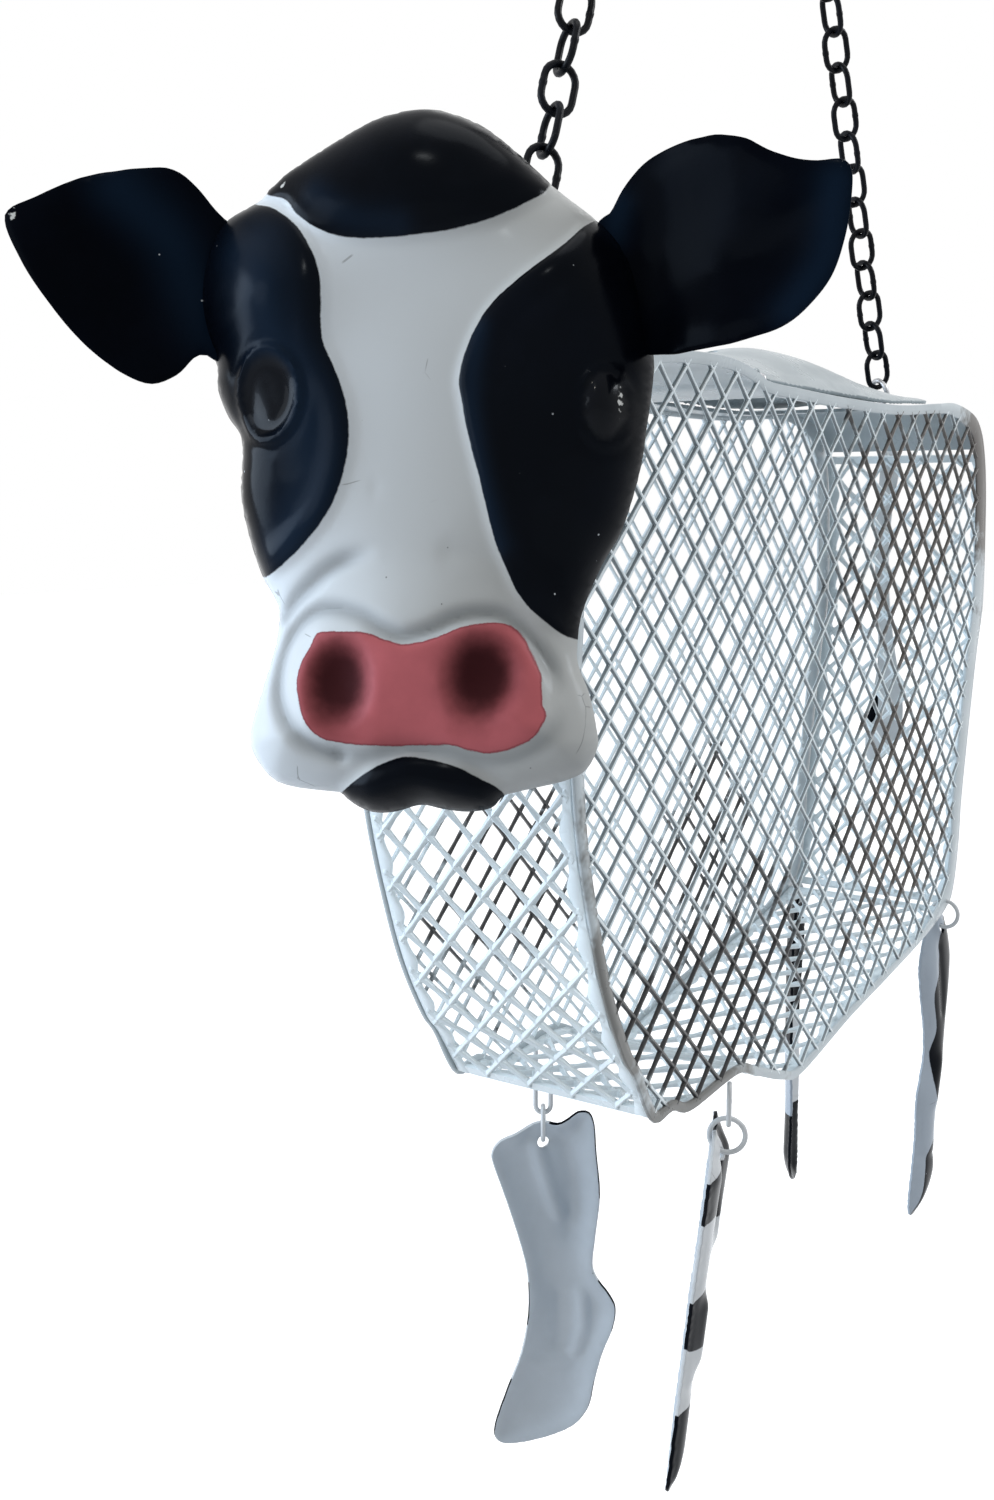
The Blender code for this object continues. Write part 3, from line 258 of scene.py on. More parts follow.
# How the front legs and the far rear leg are turned about the vertical, and the left front leg's lean
LEFT_TURN = math.radians(25.0)
LEFT_LEAN = math.radians(6.0)
RIGHT_TURN = math.radians(-57.0)
FAR_TWIST = math.radians(16.0)
FRONT_LEG_Y = -35.11 * MM
EYE_START = -504.9 * MM
LEFT_EYE_END = -515.41 * MM
RIGHT_EYE_END = -524.81 * MM
REAR_LEG_Y = 127.14 * MM
REAR_LEG_Z = -494.14 * MM
FAR_STRETCH = 1.07
# The tail's eye: where it starts on the rump, its place across, and how far it stands out
TAIL_AT = (0.9640, 0.9471)
TAIL_X = -8.0 * MM
TAIL_OUT = 13.4 * MM
TAIL_SHEET = 1.2 * MM
TAIL_BOW = 1.0
# Right front leg's outline, drawn from the photograph: across and up from its hole, in millimetres
FRONT_LEG = (
    (-2.4, 4.6), (0.0, 5.2), (3.4, 5.0), (6.3, 6.8), (8.8, 8.6), (11.6, 8.4), (13.0, 5.0), (13.6, -2.7),
    (14.6, -13.6), (13.6, -24.4), (12.9, -32.5), (14.4, -36.6), (17.4, -40.7), (18.9, -44.4), (18.2, -50.0),
    (15.6, -57.0), (13.6, -65.0), (12.2, -71.8), (8.1, -77.2), (0.0, -80.8), (-8.1, -82.4), (-11.7, -81.3),
    (-12.3, -77.2), (-8.9, -66.4), (-5.6, -57.0), (-3.7, -46.0), (-4.0, -35.2), (-6.2, -25.7), (-10.0, -13.6),
    (-12.8, -5.4), (-13.0, -2.2), (-10.8, 0.8), (-6.0, 3.0))
FRONT_STRETCH = 1.07
# The left front leg's top is lower: what rises above this keeps only a share of its rise
LOW_TOP = 4.6
LOW_TOP_SHARE = 0.2
SHIN_PATCH = ((-17.0, -4.0), (3.0, -3.0), (6.0, -13.0), (-17.0, -15.5))
# Pressed lines: their points, half width and rise
FRONT_LINES = (
    (((-1.9, -1.5), (1.9, -14.4), (4.1, -19.8)), 1.3, -2.2),
    (((5.4, -1.0), (8.2, -14.0), (7.4, -24.0)), 3.4, 1.6),
    (((10.0, -41.5), (10.4, -50.0), (8.3, -57.0)), 1.4, -2.1), (((4.5, -42.0), (4.6, -55.0)), 3.0, 1.6),
    (((-4.6, -58.8), (0.8, -61.5), (6.0, -60.5)), 1.1, -0.8))
FRONT_PATCHES = (
    ((3.0, 10.0), (16.0, 10.0), (18.0, -8.0), (12.0, -17.0), (4.5, -19.0), (-1.0, -14.5), (1.4, -6.0)),
    ((-6.0, -38.5), (3.0, -36.6), (22.0, -38.0), (22.0, -49.0), (8.0, -51.6), (-2.0, -50.5), (-6.5, -45.0)),
    ((-18.0, -66.5), (-7.0, -64.0), (6.0, -65.0), (18.0, -66.5), (18.0, -90.0), (-18.0, -90.0)))
# Rear leg: down, middle, half of the width, in millimetres
REAR_LEG = (
    (-5.0, 0.6, 1.6), (-3.9, 0.5, 4.0), (-1.4, 0.4, 7.8), (3.6, 0.4, 11.2), (11.6, 0.6, 14.0),
    (22.6, 2.0, 12.6), (33.6, 3.2, 9.8), (41.6, 3.4, 8.8), (47.6, 2.6, 9.0), (54.6, 0.4, 10.2),
    (60.6, -1.2, 9.6), (67.6, -2.0, 8.6), (74.6, -2.2, 8.6), (81.6, -2.6, 9.4), (87.6, -3.2, 10.2),
    (93.6, -5.6, 8.4), (97.4, -8.2, 5.0), (98.6, -9.6, 2.0))
REAR_LINES = (
    (((-3.0, -6.0), (1.0, -18.0), (4.0, -30.0)), 1.8, -0.9), (((2.0, -48.0), (-1.0, -60.0)), 3.0, 0.8),
    (((-9.0, -78.0), (-2.0, -80.5), (5.0, -79.5)), 1.2, -0.5))
REAR_PATCHES = (
    ((-2.0, -2.0), (18.0, -2.0), (18.0, -60.0), (1.0, -62.0), (-3.5, -45.0), (-1.0, -35.0), (-5.0, -22.0),
     (-1.0, -12.0)),
    ((-3.5, -76.5), (14.0, -75.0), (14.0, -104.0), (-13.0, -104.0), (-8.0, -90.0)))
FAR_PATCHES = (
    ((-16.0, -79.0), (0.0, -77.0), (20.0, -79.0), (20.0, -112.0), (-16.0, -112.0)),
    ((-20.0, 9.0), (20.0, 9.0), (20.0, -46.0), (2.0, -42.0), (-20.0, -47.0)))
TAIL = (
    (-2.6, 0.0, 2.0), (-1.4, 0.0, 3.2), (0.6, 0.0, 3.6), (6.0, 0.4, 3.4), (16.0, 1.4, 2.8), (30.0, 2.0, 2.5),
    (46.0, 1.2, 2.4), (60.0, -0.4, 2.6), (72.0, -1.6, 3.6), (82.0, -2.0, 5.4), (92.0, -1.2, 6.4),
    (101.0, 0.6, 4.8), (105.5, 1.8, 2.8), (107.0, 2.4, 1.0))
TAIL_LINES = (
    (((-1.0, -70.0), (-3.0, -84.0), (0.0, -100.0)), 0.9, -0.6),
    (((0.0, -72.0), (1.0, -86.0), (2.0, -101.0)), 0.9, -0.6))
TAIL_PATCHES = (((1.5, -82.0), (9.0, -80.0), (9.0, -93.0), (2.5, -92.0)),)

# Lid and back
LID_FRONT = 0.356
LID_REAR = 0.807
LID_HALF = BODY_HALF - 3.0 * MM
# In millimetres: the lid's height above the back at its sides, and its crown by the share of its length
LID_SIDE_HEIGHT = 1.4
LID_CROWNS = ((0.0, 6.5), (0.12, 9.0), (0.3, 12.5), (0.5, 12.0), (0.7, 8.5), (0.86, 4.5), (1.0, 1.2))
LID_CORNER = 5.0
LID_CORNER_IN = 1.5
LID_HOLE = 1.5
LID_HOLE_SHARE = 0.16
HINGE_WIRE = 1.4 * MM
HINGE_HEIGHT = 2.3 * MM
HINGE_HALF = LID_HALF - 0.8 * MM
BARREL_WALL = 0.8 * MM
BARREL_TO = LID_HALF - 2.4 * MM
BARREL_FROM = BARREL_TO - 4.6 * MM
BARREL_SIDES = 20
# A barrel's sheet goes round the wire from the first angle and over the second, in degrees
BARREL_START = -100.0
BARREL_TURN = 300.0
# The filler opening: from and to along the body, how far inside the lid's sides, and its edge's raised lip
FILLER = (0.43, 0.76)
FILLER_INSET = 6.0 * MM
LIP_RISE = 0.7
LIP_WIDTH = 2.2
LIP_SHARE = 0.4 * MM

# What carries the head
BAR_HALF = 38.4 * MM
BAR_TALL = 12.0 * MM
BAR_THICK = 1.6 * MM
BAR_AT = 2.0 * MM
BAR_EDGE = 0.25 * MM
# In millimetres: its rounded corners, how far its bead stops short of its ends, and how far in its welds are
BAR_CORNER = 2.5
BAR_CORNER_IN = 0.7
BAR_BEAD_SHORT = 8.0
BAR_WELD_IN = 4.0

UP = Vector((0.0, 0.0, 1.0))
ALONG_X = Vector((1.0, 0.0, 0.0))
ALONG_Y = Vector((0.0, 1.0, 0.0))

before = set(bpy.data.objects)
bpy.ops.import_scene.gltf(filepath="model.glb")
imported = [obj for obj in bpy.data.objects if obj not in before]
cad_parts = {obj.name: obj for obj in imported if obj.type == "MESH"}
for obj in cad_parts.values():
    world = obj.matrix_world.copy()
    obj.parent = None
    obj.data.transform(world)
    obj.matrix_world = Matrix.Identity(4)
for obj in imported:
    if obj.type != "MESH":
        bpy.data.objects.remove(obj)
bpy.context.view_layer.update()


# Plain helpers

def clear_selection():
    """Take everything out of the selection, as before each new piece."""
    for obj in bpy.context.selected_objects:
        obj.select_set(False)


def pick(obj):
    clear_selection()
    obj.select_set(True)
    bpy.context.view_layer.objects.active = obj


def settle(obj):
    """Put the object's place, turn and size into its mesh."""
    pick(obj)
    bpy.ops.object.transform_apply(location=True, rotation=True, scale=True)


def apply_all(obj):
    pick(obj)
    for mod in list(obj.modifiers):
        bpy.ops.object.modifier_apply(modifier=mod.name)


def soften(obj, degrees):
    pick(obj)
    bpy.ops.object.shade_smooth_by_angle(angle=math.radians(degrees))


def piece(name, verts, faces):
    """Object from vertices and faces in metres."""
    mesh = bpy.data.meshes.new(name)
    mesh.from_pydata([tuple(v) for v in verts], [], [tuple(f) for f in faces])
    obj = bpy.data.objects.new(name, mesh)
    bpy.context.scene.collection.objects.link(obj)
    return obj


def face_out(obj, merge=0.02 * MM):
    """Turn the faces outwards, after merging points that lie together."""
    mesh = obj.data
    work = bmesh.new()
    work.from_mesh(mesh)
    if merge:
        bmesh.ops.remove_doubles(work, verts=work.verts, dist=merge)
    bmesh.ops.recalc_face_normals(work, faces=work.faces)
    work.to_mesh(mesh)
    work.free()


def show(obj, node, body, slot, *materials):
    """Dress a finished piece, let it ride on its body, and hide the solid it stands for. Its slot is not
    used.
    """
    slots = obj.data.materials
    while len(slots) < len(materials):
        slots.append(None)
    for i in range(len(slots)):
        slots[i] = materials[min(i, len(materials) - 1)]
    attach(obj, body)
    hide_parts(node)


def thicken(obj, thickness, offset=-1.0):
    wall = obj.modifiers.new("wall", "SOLIDIFY")
    wall.thickness = thickness
    wall.offset = offset
    return wall


def round_edges(obj, width):
    rounding = obj.modifiers.new("rounding", "BEVEL")
    rounding.width = width
    rounding.segments = 2
    return rounding


def mesh_points(mesh):
    """The mesh's points as rows of an array."""
    points = np.empty(len(mesh.vertices) * 3)
    mesh.vertices.foreach_get("co", points)
    return points.reshape(-1, 3)


def tube_faces(rounds, count, closed):
    """Faces between rounds of points, each round with the same count."""
    faces = []
    for i in range(rounds if closed else rounds - 1):
        j = (i + 1) % rounds
        for k in range(count):
            m = (k + 1) % count
            faces.append((i * count + k, i * count + m, j * count + m, j * count + k))
    return faces


def matrix_of(x, y, z, origin):
    """Matrix that turns the axes to three directions and moves the origin."""
    rows = [[x[i], y[i], z[i], origin[i]] for i in range(3)]
    return Matrix(rows + [[0.0, 0.0, 0.0, 1.0]])


def taken(obj):
    """The points and faces of an object, which is then removed."""
    verts = mesh_points(obj.data)
    faces = [tuple(p.vertices) for p in obj.data.polygons]
    bpy.data.objects.remove(obj, do_unlink=True)
    return verts, faces


def join_as(name, objs):
    pick(objs[0])
    for obj in objs[1:]:
        obj.select_set(True)
    if len(objs) > 1:
        bpy.ops.object.join()
    objs[0].name = name
    objs[0].data.name = name
    return objs[0]


def smooth_line(points, steps, closed):
    """Catmull-Rom curve through points."""
    pts = np.asarray(points, float)
    count = len(pts)
    out = []
    spans = count if closed else count - 1
    for i in range(spans):
        if closed:
            a, b, c, d = (pts[(i + k) % count] for k in (-1, 0, 1, 2))
        else:
            a, b, c, d = (pts[min(max(i + k, 0), count - 1)] for k in (-1, 0, 1, 2))
        for j in range(steps):
            t = j / steps
            out.append(0.5 * (2 * b + (c - a) * t + (2 * a - 5 * b + 4 * c - d) * t * t
                              + (3 * b - a - 3 * c + d) * t ** 3))
    if not closed:
        out.append(pts[-1])
    return np.array(out)


def even_ring(points, step):
    """Closed line with points a step apart."""
    pts = np.asarray(points, float)
    loop = np.vstack([pts, pts[:1]])
    runs = np.linalg.norm(np.diff(loop, axis=0), axis=1)
    total = np.concatenate([[0.0], np.cumsum(runs)])
    count = max(8, int(round(total[-1] / step)))
    marks = np.arange(count) * total[-1] / count
    return np.stack([np.interp(marks, total, loop[:, k]) for k in range(pts.shape[1])], axis=1)


def line_distance(spots, line):
    """Distance of each spot to an open line."""
    near = np.full(len(spots), np.inf)
    for a, b in zip(line[:-1], line[1:]):
        run = b - a
        share = np.clip(((spots - a) @ run) / max(run @ run, 1e-12), 0.0, 1.0)
        near = np.minimum(near, np.linalg.norm(spots - a - share[:, None] * run, axis=1))
    return near


def edge_distance(spots, ring):
    """Distance of each spot to a closed ring, negative inside it."""
    spots = np.asarray(spots, float)
    near = line_distance(spots, np.vstack([ring, ring[:1]]))
    inside = np.zeros(len(spots), bool)
    for a, b in zip(ring, np.roll(ring, -1, axis=0)):
        if a[1] != b[1]:
            cross = (a[1] > spots[:, 1]) != (b[1] > spots[:, 1])
            inside ^= cross & (spots[:, 0] < a[0] + (spots[:, 1] - a[1]) * (b[0] - a[0]) / (b[1] - a[1]))
    return np.where(inside, -near, near)


def ramp(value):
    """0 below 0, 1 above 1, and a soft rise between."""
    value = np.clip(value, 0.0, 1.0)
    return value * value * (3 - 2 * value)


def hump(spots, x, z, wide, tall):
    return np.exp(-((spots[:, 0] - x) / wide) ** 2 - ((spots[:, 1] - z) / tall) ** 2)


def bead(value, at, wide):
    """A soft ridge of height 1 where the value is at a place."""
    return np.exp(-((value - at) / wide) ** 2)


def store(obj, name, values, domain="POINT"):
    layer = obj.data.attributes.new(name, "FLOAT", domain)
    layer.data.foreach_set("value", np.asarray(values, np.float32))


# Paints

# Noises of the paints: how many to a millimetre, their detail and how rough they are
PEEL_NOISE = (0.55, 3.0)
RUN_NOISE = (0.11, 1.0)
GRAIN_NOISE = (0.16, 0.0)
SMUDGE_NOISE = (0.045, 5.0, 0.62)
BRUSH_NOISE = (0.32, 4.0, 0.7)
WEAR_NOISE = (0.5, 4.0, 0.7)
THIN_NOISE = (0.05, 4.0, 0.6)
STREAK_NOISE = (0.8, 4.0, 0.7)
NOSTRIL_NOISE = (0.35, 3.0)
SCRATCH_NOISE = (0.11, 1.0)
CHIP_AND_GLINT_NOISE = (1.1, 2.0)
SPRAY_AND_SHADE_NOISE = (0.06, 4.0, 0.65)
# Cells to a millimetre: dust grains, and the scratches along the edges of large cells
GRAIN_CELLS = 0.19
SCRATCH_CELLS = 0.055
# From where to where such a value shows: nothing at the first, all at the second
GRAIN_DOT = (0.05, 0.025)
GRAIN_SHOWS = (0.52, 0.6)
SMUDGE_SHOWS = (0.35, 0.7)
RIDGE_SHOWS = (0.5, 0.1)
WEAR_SHOWS = (0.66, 0.8)
THIN_SHOWS = (0.3, 0.7)
NOSTRIL_SHOWS = (0.1, 1.0)
SCRATCH_LINE = (0.008, 0.003)
SCRATCH_SHOWS = (0.62, 0.67)
CHIP_AND_GLINT_SHOWS = (0.60, 0.72)
SPRAY_AND_SHADE_SHOWS = (0.40, 0.66)
# Heights in the bump, and what is added to the roughness
PEEL_HEIGHT = 0.35
RUN_HEIGHT = 1.6
GRAIN_HEIGHT = 0.5
PATCH_HEIGHT = 1.6
NOSE_HEIGHT = 1.4
SMUDGE_ROUGHNESS = 0.1
GRAIN_ROUGHNESS = 0.3
STREAK_ROUGHNESS = 0.18
NOSTRIL_ROUGHNESS = 0.3
NOSE_ROUGHNESS = 0.14
EYE_COAT = 0.09


def new_group(name, ins, outs):
    group = bpy.data.node_groups.new(name, "ShaderNodeTree")
    for label, value in ins:
        socket = group.interface.new_socket(label, in_out="INPUT", socket_type="NodeSocketFloat")
        socket.default_value = value
    for label in outs:
        group.interface.new_socket(label, in_out="OUTPUT", socket_type="NodeSocketFloat")
    return group, group.nodes.new("NodeGroupInput"), group.nodes.new("NodeGroupOutput")


def wire(tree, source, target):
    tree.links.new(source, target)


def add(tree, kind, **values):
    node = tree.nodes.new(kind)
    for key, value in values.items():
        setattr(node, key, value)
    return node


def maths(tree, operation, first, second=None, third=None, clamp=False):
    node = add(tree, "ShaderNodeMath", operation=operation, use_clamp=clamp)
    for i, value in enumerate((first, second, third)):
        if value is None:
            continue
        if isinstance(value, (int, float)):
            node.inputs[i].default_value = value
        else:
            wire(tree, value, node.inputs[i])
    return node.outputs[0]


def spread(tree, value, low, high, to_low=0.0, to_high=1.0):
    """Map a value from one range to another with soft ends."""
    node = add(tree, "ShaderNodeMapRange", interpolation_type="SMOOTHSTEP")
    for label, number in (("From Min", low), ("From Max", high), ("To Min", to_low), ("To Max", to_high)):
        node.inputs[label].default_value = number
    wire(tree, value, node.inputs["Value"])
    return node.outputs["Result"]


def place_mm(tree):
    """Object coordinates in millimetres."""
    coords = add(tree, "ShaderNodeTexCoord")
    scale = add(tree, "ShaderNodeVectorMath", operation="SCALE")
    scale.inputs["Scale"].default_value = 1000.0
    wire(tree, coords.outputs["Object"], scale.inputs[0])
    return scale.outputs[0]


def noise(tree, place, scale, detail=2.0, rough=0.5):
    node = add(tree, "ShaderNodeTexNoise")
    node.inputs["Scale"].default_value = scale
    node.inputs["Detail"].default_value = detail
    node.inputs["Roughness"].default_value = rough
    wire(tree, place, node.inputs["Vector"])
    return node.outputs["Fac"]


def make_paint_skin():
    """Dipped and sprayed paint: orange peel, runs, fine dust grains and smudges of handling."""
    group, ins, outs = new_group("paint_skin", [("Peel", 1.0), ("Grains", 1.0), ("Shine", 0.3)],
                                 ["Height", "Roughness", "Grain", "Smudge"])
    place = place_mm(group)
    peel = noise(group, place, *PEEL_NOISE)
    runs = noise(group, place, *RUN_NOISE)
    grain = add(group, "ShaderNodeTexVoronoi", feature="F1")
    grain.inputs["Scale"].default_value = GRAIN_CELLS
    wire(group, place, grain.inputs["Vector"])
    dot = spread(group, grain.outputs["Distance"], *GRAIN_DOT)
    chosen = spread(group, noise(group, place, *GRAIN_NOISE), *GRAIN_SHOWS)
    dots = maths(group, "MULTIPLY", maths(group, "MULTIPLY", dot, chosen), ins.outputs["Grains"])
    height = maths(group, "ADD", maths(group, "MULTIPLY", peel, PEEL_HEIGHT),
                   maths(group, "MULTIPLY", runs, RUN_HEIGHT))
    height = maths(group, "MULTIPLY", height, ins.outputs["Peel"])
    height = maths(group, "ADD", height, maths(group, "MULTIPLY", dots, GRAIN_HEIGHT))
    smudge = spread(group, noise(group, place, *SMUDGE_NOISE), *SMUDGE_SHOWS)
    rough = maths(group, "ADD", ins.outputs["Shine"], maths(group, "MULTIPLY", smudge, SMUDGE_ROUGHNESS))
    rough = maths(group, "ADD", rough, maths(group, "MULTIPLY", dots, GRAIN_ROUGHNESS))
    wire(group, height, outs.inputs["Height"])
    wire(group, rough, outs.inputs["Roughness"])
    wire(group, dots, outs.inputs["Grain"])
    wire(group, smudge, outs.inputs["Smudge"])
    return group


def make_brush_line():
    """Edge of a hand-painted patch: a distance in millimetres becomes a mask with an unsteady line."""
    group, ins, outs = new_group("brush_line", [("Distance", 0.0), ("Wobble", 0.13), ("Soft", 0.12)],
                                 ["Mask", "Ridge"])
    place = place_mm(group)
    shake = maths(group, "SUBTRACT", noise(group, place, *BRUSH_NOISE), 0.5)
    shaken = maths(group, "MULTIPLY_ADD", shake, maths(group, "MULTIPLY", ins.outputs["Wobble"], 4.0),
                   ins.outputs["Distance"])
    share = maths(group, "DIVIDE", shaken, ins.outputs["Soft"])
    mask = maths(group, "SUBTRACT", 0.5, maths(group, "MULTIPLY", share, 0.5), clamp=True)
    ridge = spread(group, maths(group, "ABSOLUTE", shaken), *RIDGE_SHOWS)
    wire(group, mask, outs.inputs["Mask"])
    wire(group, ridge, outs.inputs["Ridge"])
    return group


PAINT_SKIN = make_paint_skin()
BRUSH_LINE = make_brush_line()
WHITE = (0.65, 0.665, 0.675)
# Painted light and shade on the face: its white goes from a lit tone on one side to a shaded tone on the
# other, between these places across, in millimetres
FACE_LIT_WHITE = (0.79, 0.84, 0.885)
FACE_SHADED_WHITE = (0.475, 0.48, 0.47)
FACE_SHADING_SPAN = (-31.0, 27.0)
# Painted shade: the rear legs' white, a darker and bluer copy of the white
REAR_SHADED_WHITE = (0.42, 0.47, 0.53)
BLACK = (0.0010, 0.0015, 0.0030)
PINK = (0.515, 0.132, 0.146)
PINK_LINE = (0.16, 0.03, 0.04)
# Painted shadow in the nostrils
NOSTRIL = (0.052, 0.012, 0.014)
# Painted sheen: the dark blue of the black paint where a reflection would show
NAVY_SHEEN = (0.0055, 0.0130, 0.0270)
STEEL = (0.50, 0.51, 0.53)
# Painted shade: the white of the legs' insides, a darker and cooler copy of the white
INSIDE_SHADED_WHITE = (0.50, 0.55, 0.60)
# Bare metal in the paint's chips, also the colour of the right eye's painted glint
CHIPPED_AND_GLINT = (0.62, 0.62, 0.60)
NET_WHITE = (0.84, 0.92, 0.95)
RIM_WHITE = (0.56, 0.62, 0.65)
SHEET_WHITE = (0.42, 0.475, 0.50)
# Painted shade on the strands' cut faces
CUT_FACE_SHADE = (0.235, 0.265, 0.28)
SPRAY_BLACK = (0.018, 0.018, 0.019)
SPRAY_BROWN = (0.085, 0.074, 0.066)
# Dark of the rims' sprays, also their painted shade at the lower front
RIM_SPRAY_AND_SHADE_GREY = (0.15, 0.15, 0.142)
# Painted shade in the face's grooves and folds
GROOVE_SHADE = (0.20, 0.215, 0.225)
GRAIN_PALE = (0.55, 0.58, 0.60)
GRAIN_DARK = (0.16, 0.16, 0.16)
WORN_BLACK = (0.05, 0.05, 0.052)
GLOSS_TINT = (0.72, 0.84, 1.0, 1.0)
# Strength of the black paints' reflections, which the photograph shows faint
BLACK_GLOSS = 0.05
CHAIN_GLOSS = 0.10
EAR_GLOSS = 0.012
# Depth of the paint's bumps, in metres, on thin pieces and on broad ones
FINE_BUMP = 0.00004
BUMP = 0.00005
DEEP_BUMP = 0.00006


def shaded(colour, share):
    return tuple(share * v for v in colour)


def stored(tree, name):
    """A value that the mesh stores."""
    return add(tree, "ShaderNodeAttribute", attribute_name=name).outputs["Fac"]


def brush_line(tree, distance):
    line = add(tree, "ShaderNodeGroup", node_tree=BRUSH_LINE)
    wire(tree, distance, line.inputs["Distance"])
    return line


def mixed(tree, factor, first, second):
    node = add(tree, "ShaderNodeMix", data_type="RGBA")
    if isinstance(factor, (int, float)):
        node.inputs[0].default_value = factor
    else:
        wire(tree, factor, node.inputs[0])
    for slot, colour in ((6, first), (7, second)):
        if isinstance(colour, tuple):
            node.inputs[slot].default_value = (*colour, 1.0)
        else:
            wire(tree, colour, node.inputs[slot])
    return node.outputs[2]


def start_paint(name, shine=0.28, peel=1.0, grains=1.0):
    mat = bpy.data.materials.new(name)
    mat.use_nodes = True
    tree = mat.node_tree
    shader = tree.nodes["Principled BSDF"]
    skin = add(tree, "ShaderNodeGroup", node_tree=PAINT_SKIN)
    skin.inputs["Peel"].default_value = peel
    skin.inputs["Grains"].default_value = grains
    skin.inputs["Shine"].default_value = shine
    return mat, tree, shader, skin


def finish_paint(tree, shader, colour, rough, height, depth):
    wire(tree, colour, shader.inputs["Base Color"])
    wire(tree, rough, shader.inputs["Roughness"])
    bump = add(tree, "ShaderNodeBump")
    bump.inputs["Strength"].default_value = 1.0
    bump.inputs["Distance"].default_value = depth
    wire(tree, height, bump.inputs["Height"])
    wire(tree, bump.outputs["Normal"], shader.inputs["Normal"])


def finish_plain(tree, shader, colour, skin, depth):
    finish_paint(tree, shader, colour, skin.outputs["Roughness"], skin.outputs["Height"], depth)


def plain_paint(name, shine, colour, smudged, grain, gloss=None):
    """One colour, a little different where it is smudged, with dust grains in it."""
    mat, tree, shader, skin = start_paint(name, shine)
    if gloss is not None:
        shader.inputs["Specular IOR Level"].default_value = gloss
    base = mixed(tree, skin.outputs["Smudge"], colour, shaded(colour, smudged))
    finish_plain(tree, shader, mixed(tree, skin.outputs["Grain"], base, grain), skin, BUMP)
    return mat


def chain_paint():
    """Black paint of the chains, rubbed thin here and there where links bear."""
    mat, tree, shader, skin = start_paint("chain_paint", 0.32, 0.7, 0.4)
    shader.inputs["Specular IOR Level"].default_value = CHAIN_GLOSS
    worn = spread(tree, noise(tree, place_mm(tree), *WEAR_NOISE), *WEAR_SHOWS)
    base = mixed(tree, skin.outputs["Smudge"], BLACK, shaded(BLACK, 2.4))
    colour = mixed(tree, worn, base, WORN_BLACK)
    finish_plain(tree, shader, colour, skin, FINE_BUMP)
    return mat


def leg_inside():
    """Grey-white paint on the inside of the legs, a darker and cooler copy of the white for painted shade,
    patchy where it was sprayed from one side.
    """
    mat, tree, shader, skin = start_paint("leg_inside", 0.36, 1.3)
    thin = spread(tree, noise(tree, place_mm(tree), *THIN_NOISE), *THIN_SHOWS)
    base = mixed(tree, thin, INSIDE_SHADED_WHITE, shaded(INSIDE_SHADED_WHITE, 0.9))
    colour = mixed(tree, skin.outputs["Grain"], base, GRAIN_DARK)
    finish_plain(tree, shader, colour, skin, DEEP_BUMP)
    return mat


def bare_steel():
    """Steel with fine upright streaks."""
    mat, tree, shader, skin = start_paint("bare_steel", 0.26, 0.6)
    shader.inputs["Metallic"].default_value = 1.0
    place = place_mm(tree)
    stretch = add(tree, "ShaderNodeMapping")
    stretch.inputs["Scale"].default_value = (6.0, 6.0, 0.4)
    wire(tree, place, stretch.inputs["Vector"])
    streak = noise(tree, stretch.outputs[0], *STREAK_NOISE)
    base = mixed(tree, streak, STEEL, shaded(STEEL, 0.72))
    rough = maths(tree, "MULTIPLY_ADD", streak, STREAK_ROUGHNESS, skin.outputs["Roughness"])
    finish_paint(tree, shader, base, rough, skin.outputs["Height"], FINE_BUMP)
    return mat


def nose_paint(tree, shader, skin, white, rough, height):
    """The nose's pink over the face's white, with painted shade in the grooves, a painted shadow in the
    nostrils, and a coat on the eyes.
    """
    wire(tree, maths(tree, "MULTIPLY", stored(tree, "eye_ball"), EYE_COAT), shader.inputs["Coat Weight"])
    shader.inputs["Coat Roughness"].default_value = 0.04
    # painted shade in the grooves and folds
    white = mixed(tree, stored(tree, "groove_shade"), white, GROOVE_SHADE)
    rim = brush_line(tree, stored(tree, "nose_edge"))
    rim.inputs["Wobble"].default_value = 0.22
    cloud = noise(tree, place_mm(tree), *NOSTRIL_NOISE)
    # painted shadow in the nostrils, darkest in their middle
    depth = maths(tree, "MULTIPLY_ADD", cloud, 0.2, stored(tree, "nostril"))
    dark = spread(tree, depth, *NOSTRIL_SHOWS)
    rough = maths(tree, "MULTIPLY_ADD", dark, NOSTRIL_ROUGHNESS, rough)
    rough = maths(tree, "MULTIPLY_ADD", rim.outputs["Mask"], NOSE_ROUGHNESS, rough)
    pink = mixed(tree, skin.outputs["Smudge"], PINK, shaded(PINK, 0.86))
    pink = mixed(tree, dark, pink, NOSTRIL)
    pink = mixed(tree, maths(tree, "MULTIPLY", rim.outputs["Ridge"], 0.6), pink, PINK_LINE)
    height = maths(tree, "MULTIPLY_ADD", rim.outputs["Mask"], NOSE_HEIGHT, height)
    return mixed(tree, rim.outputs["Mask"], white, pink), rough, height


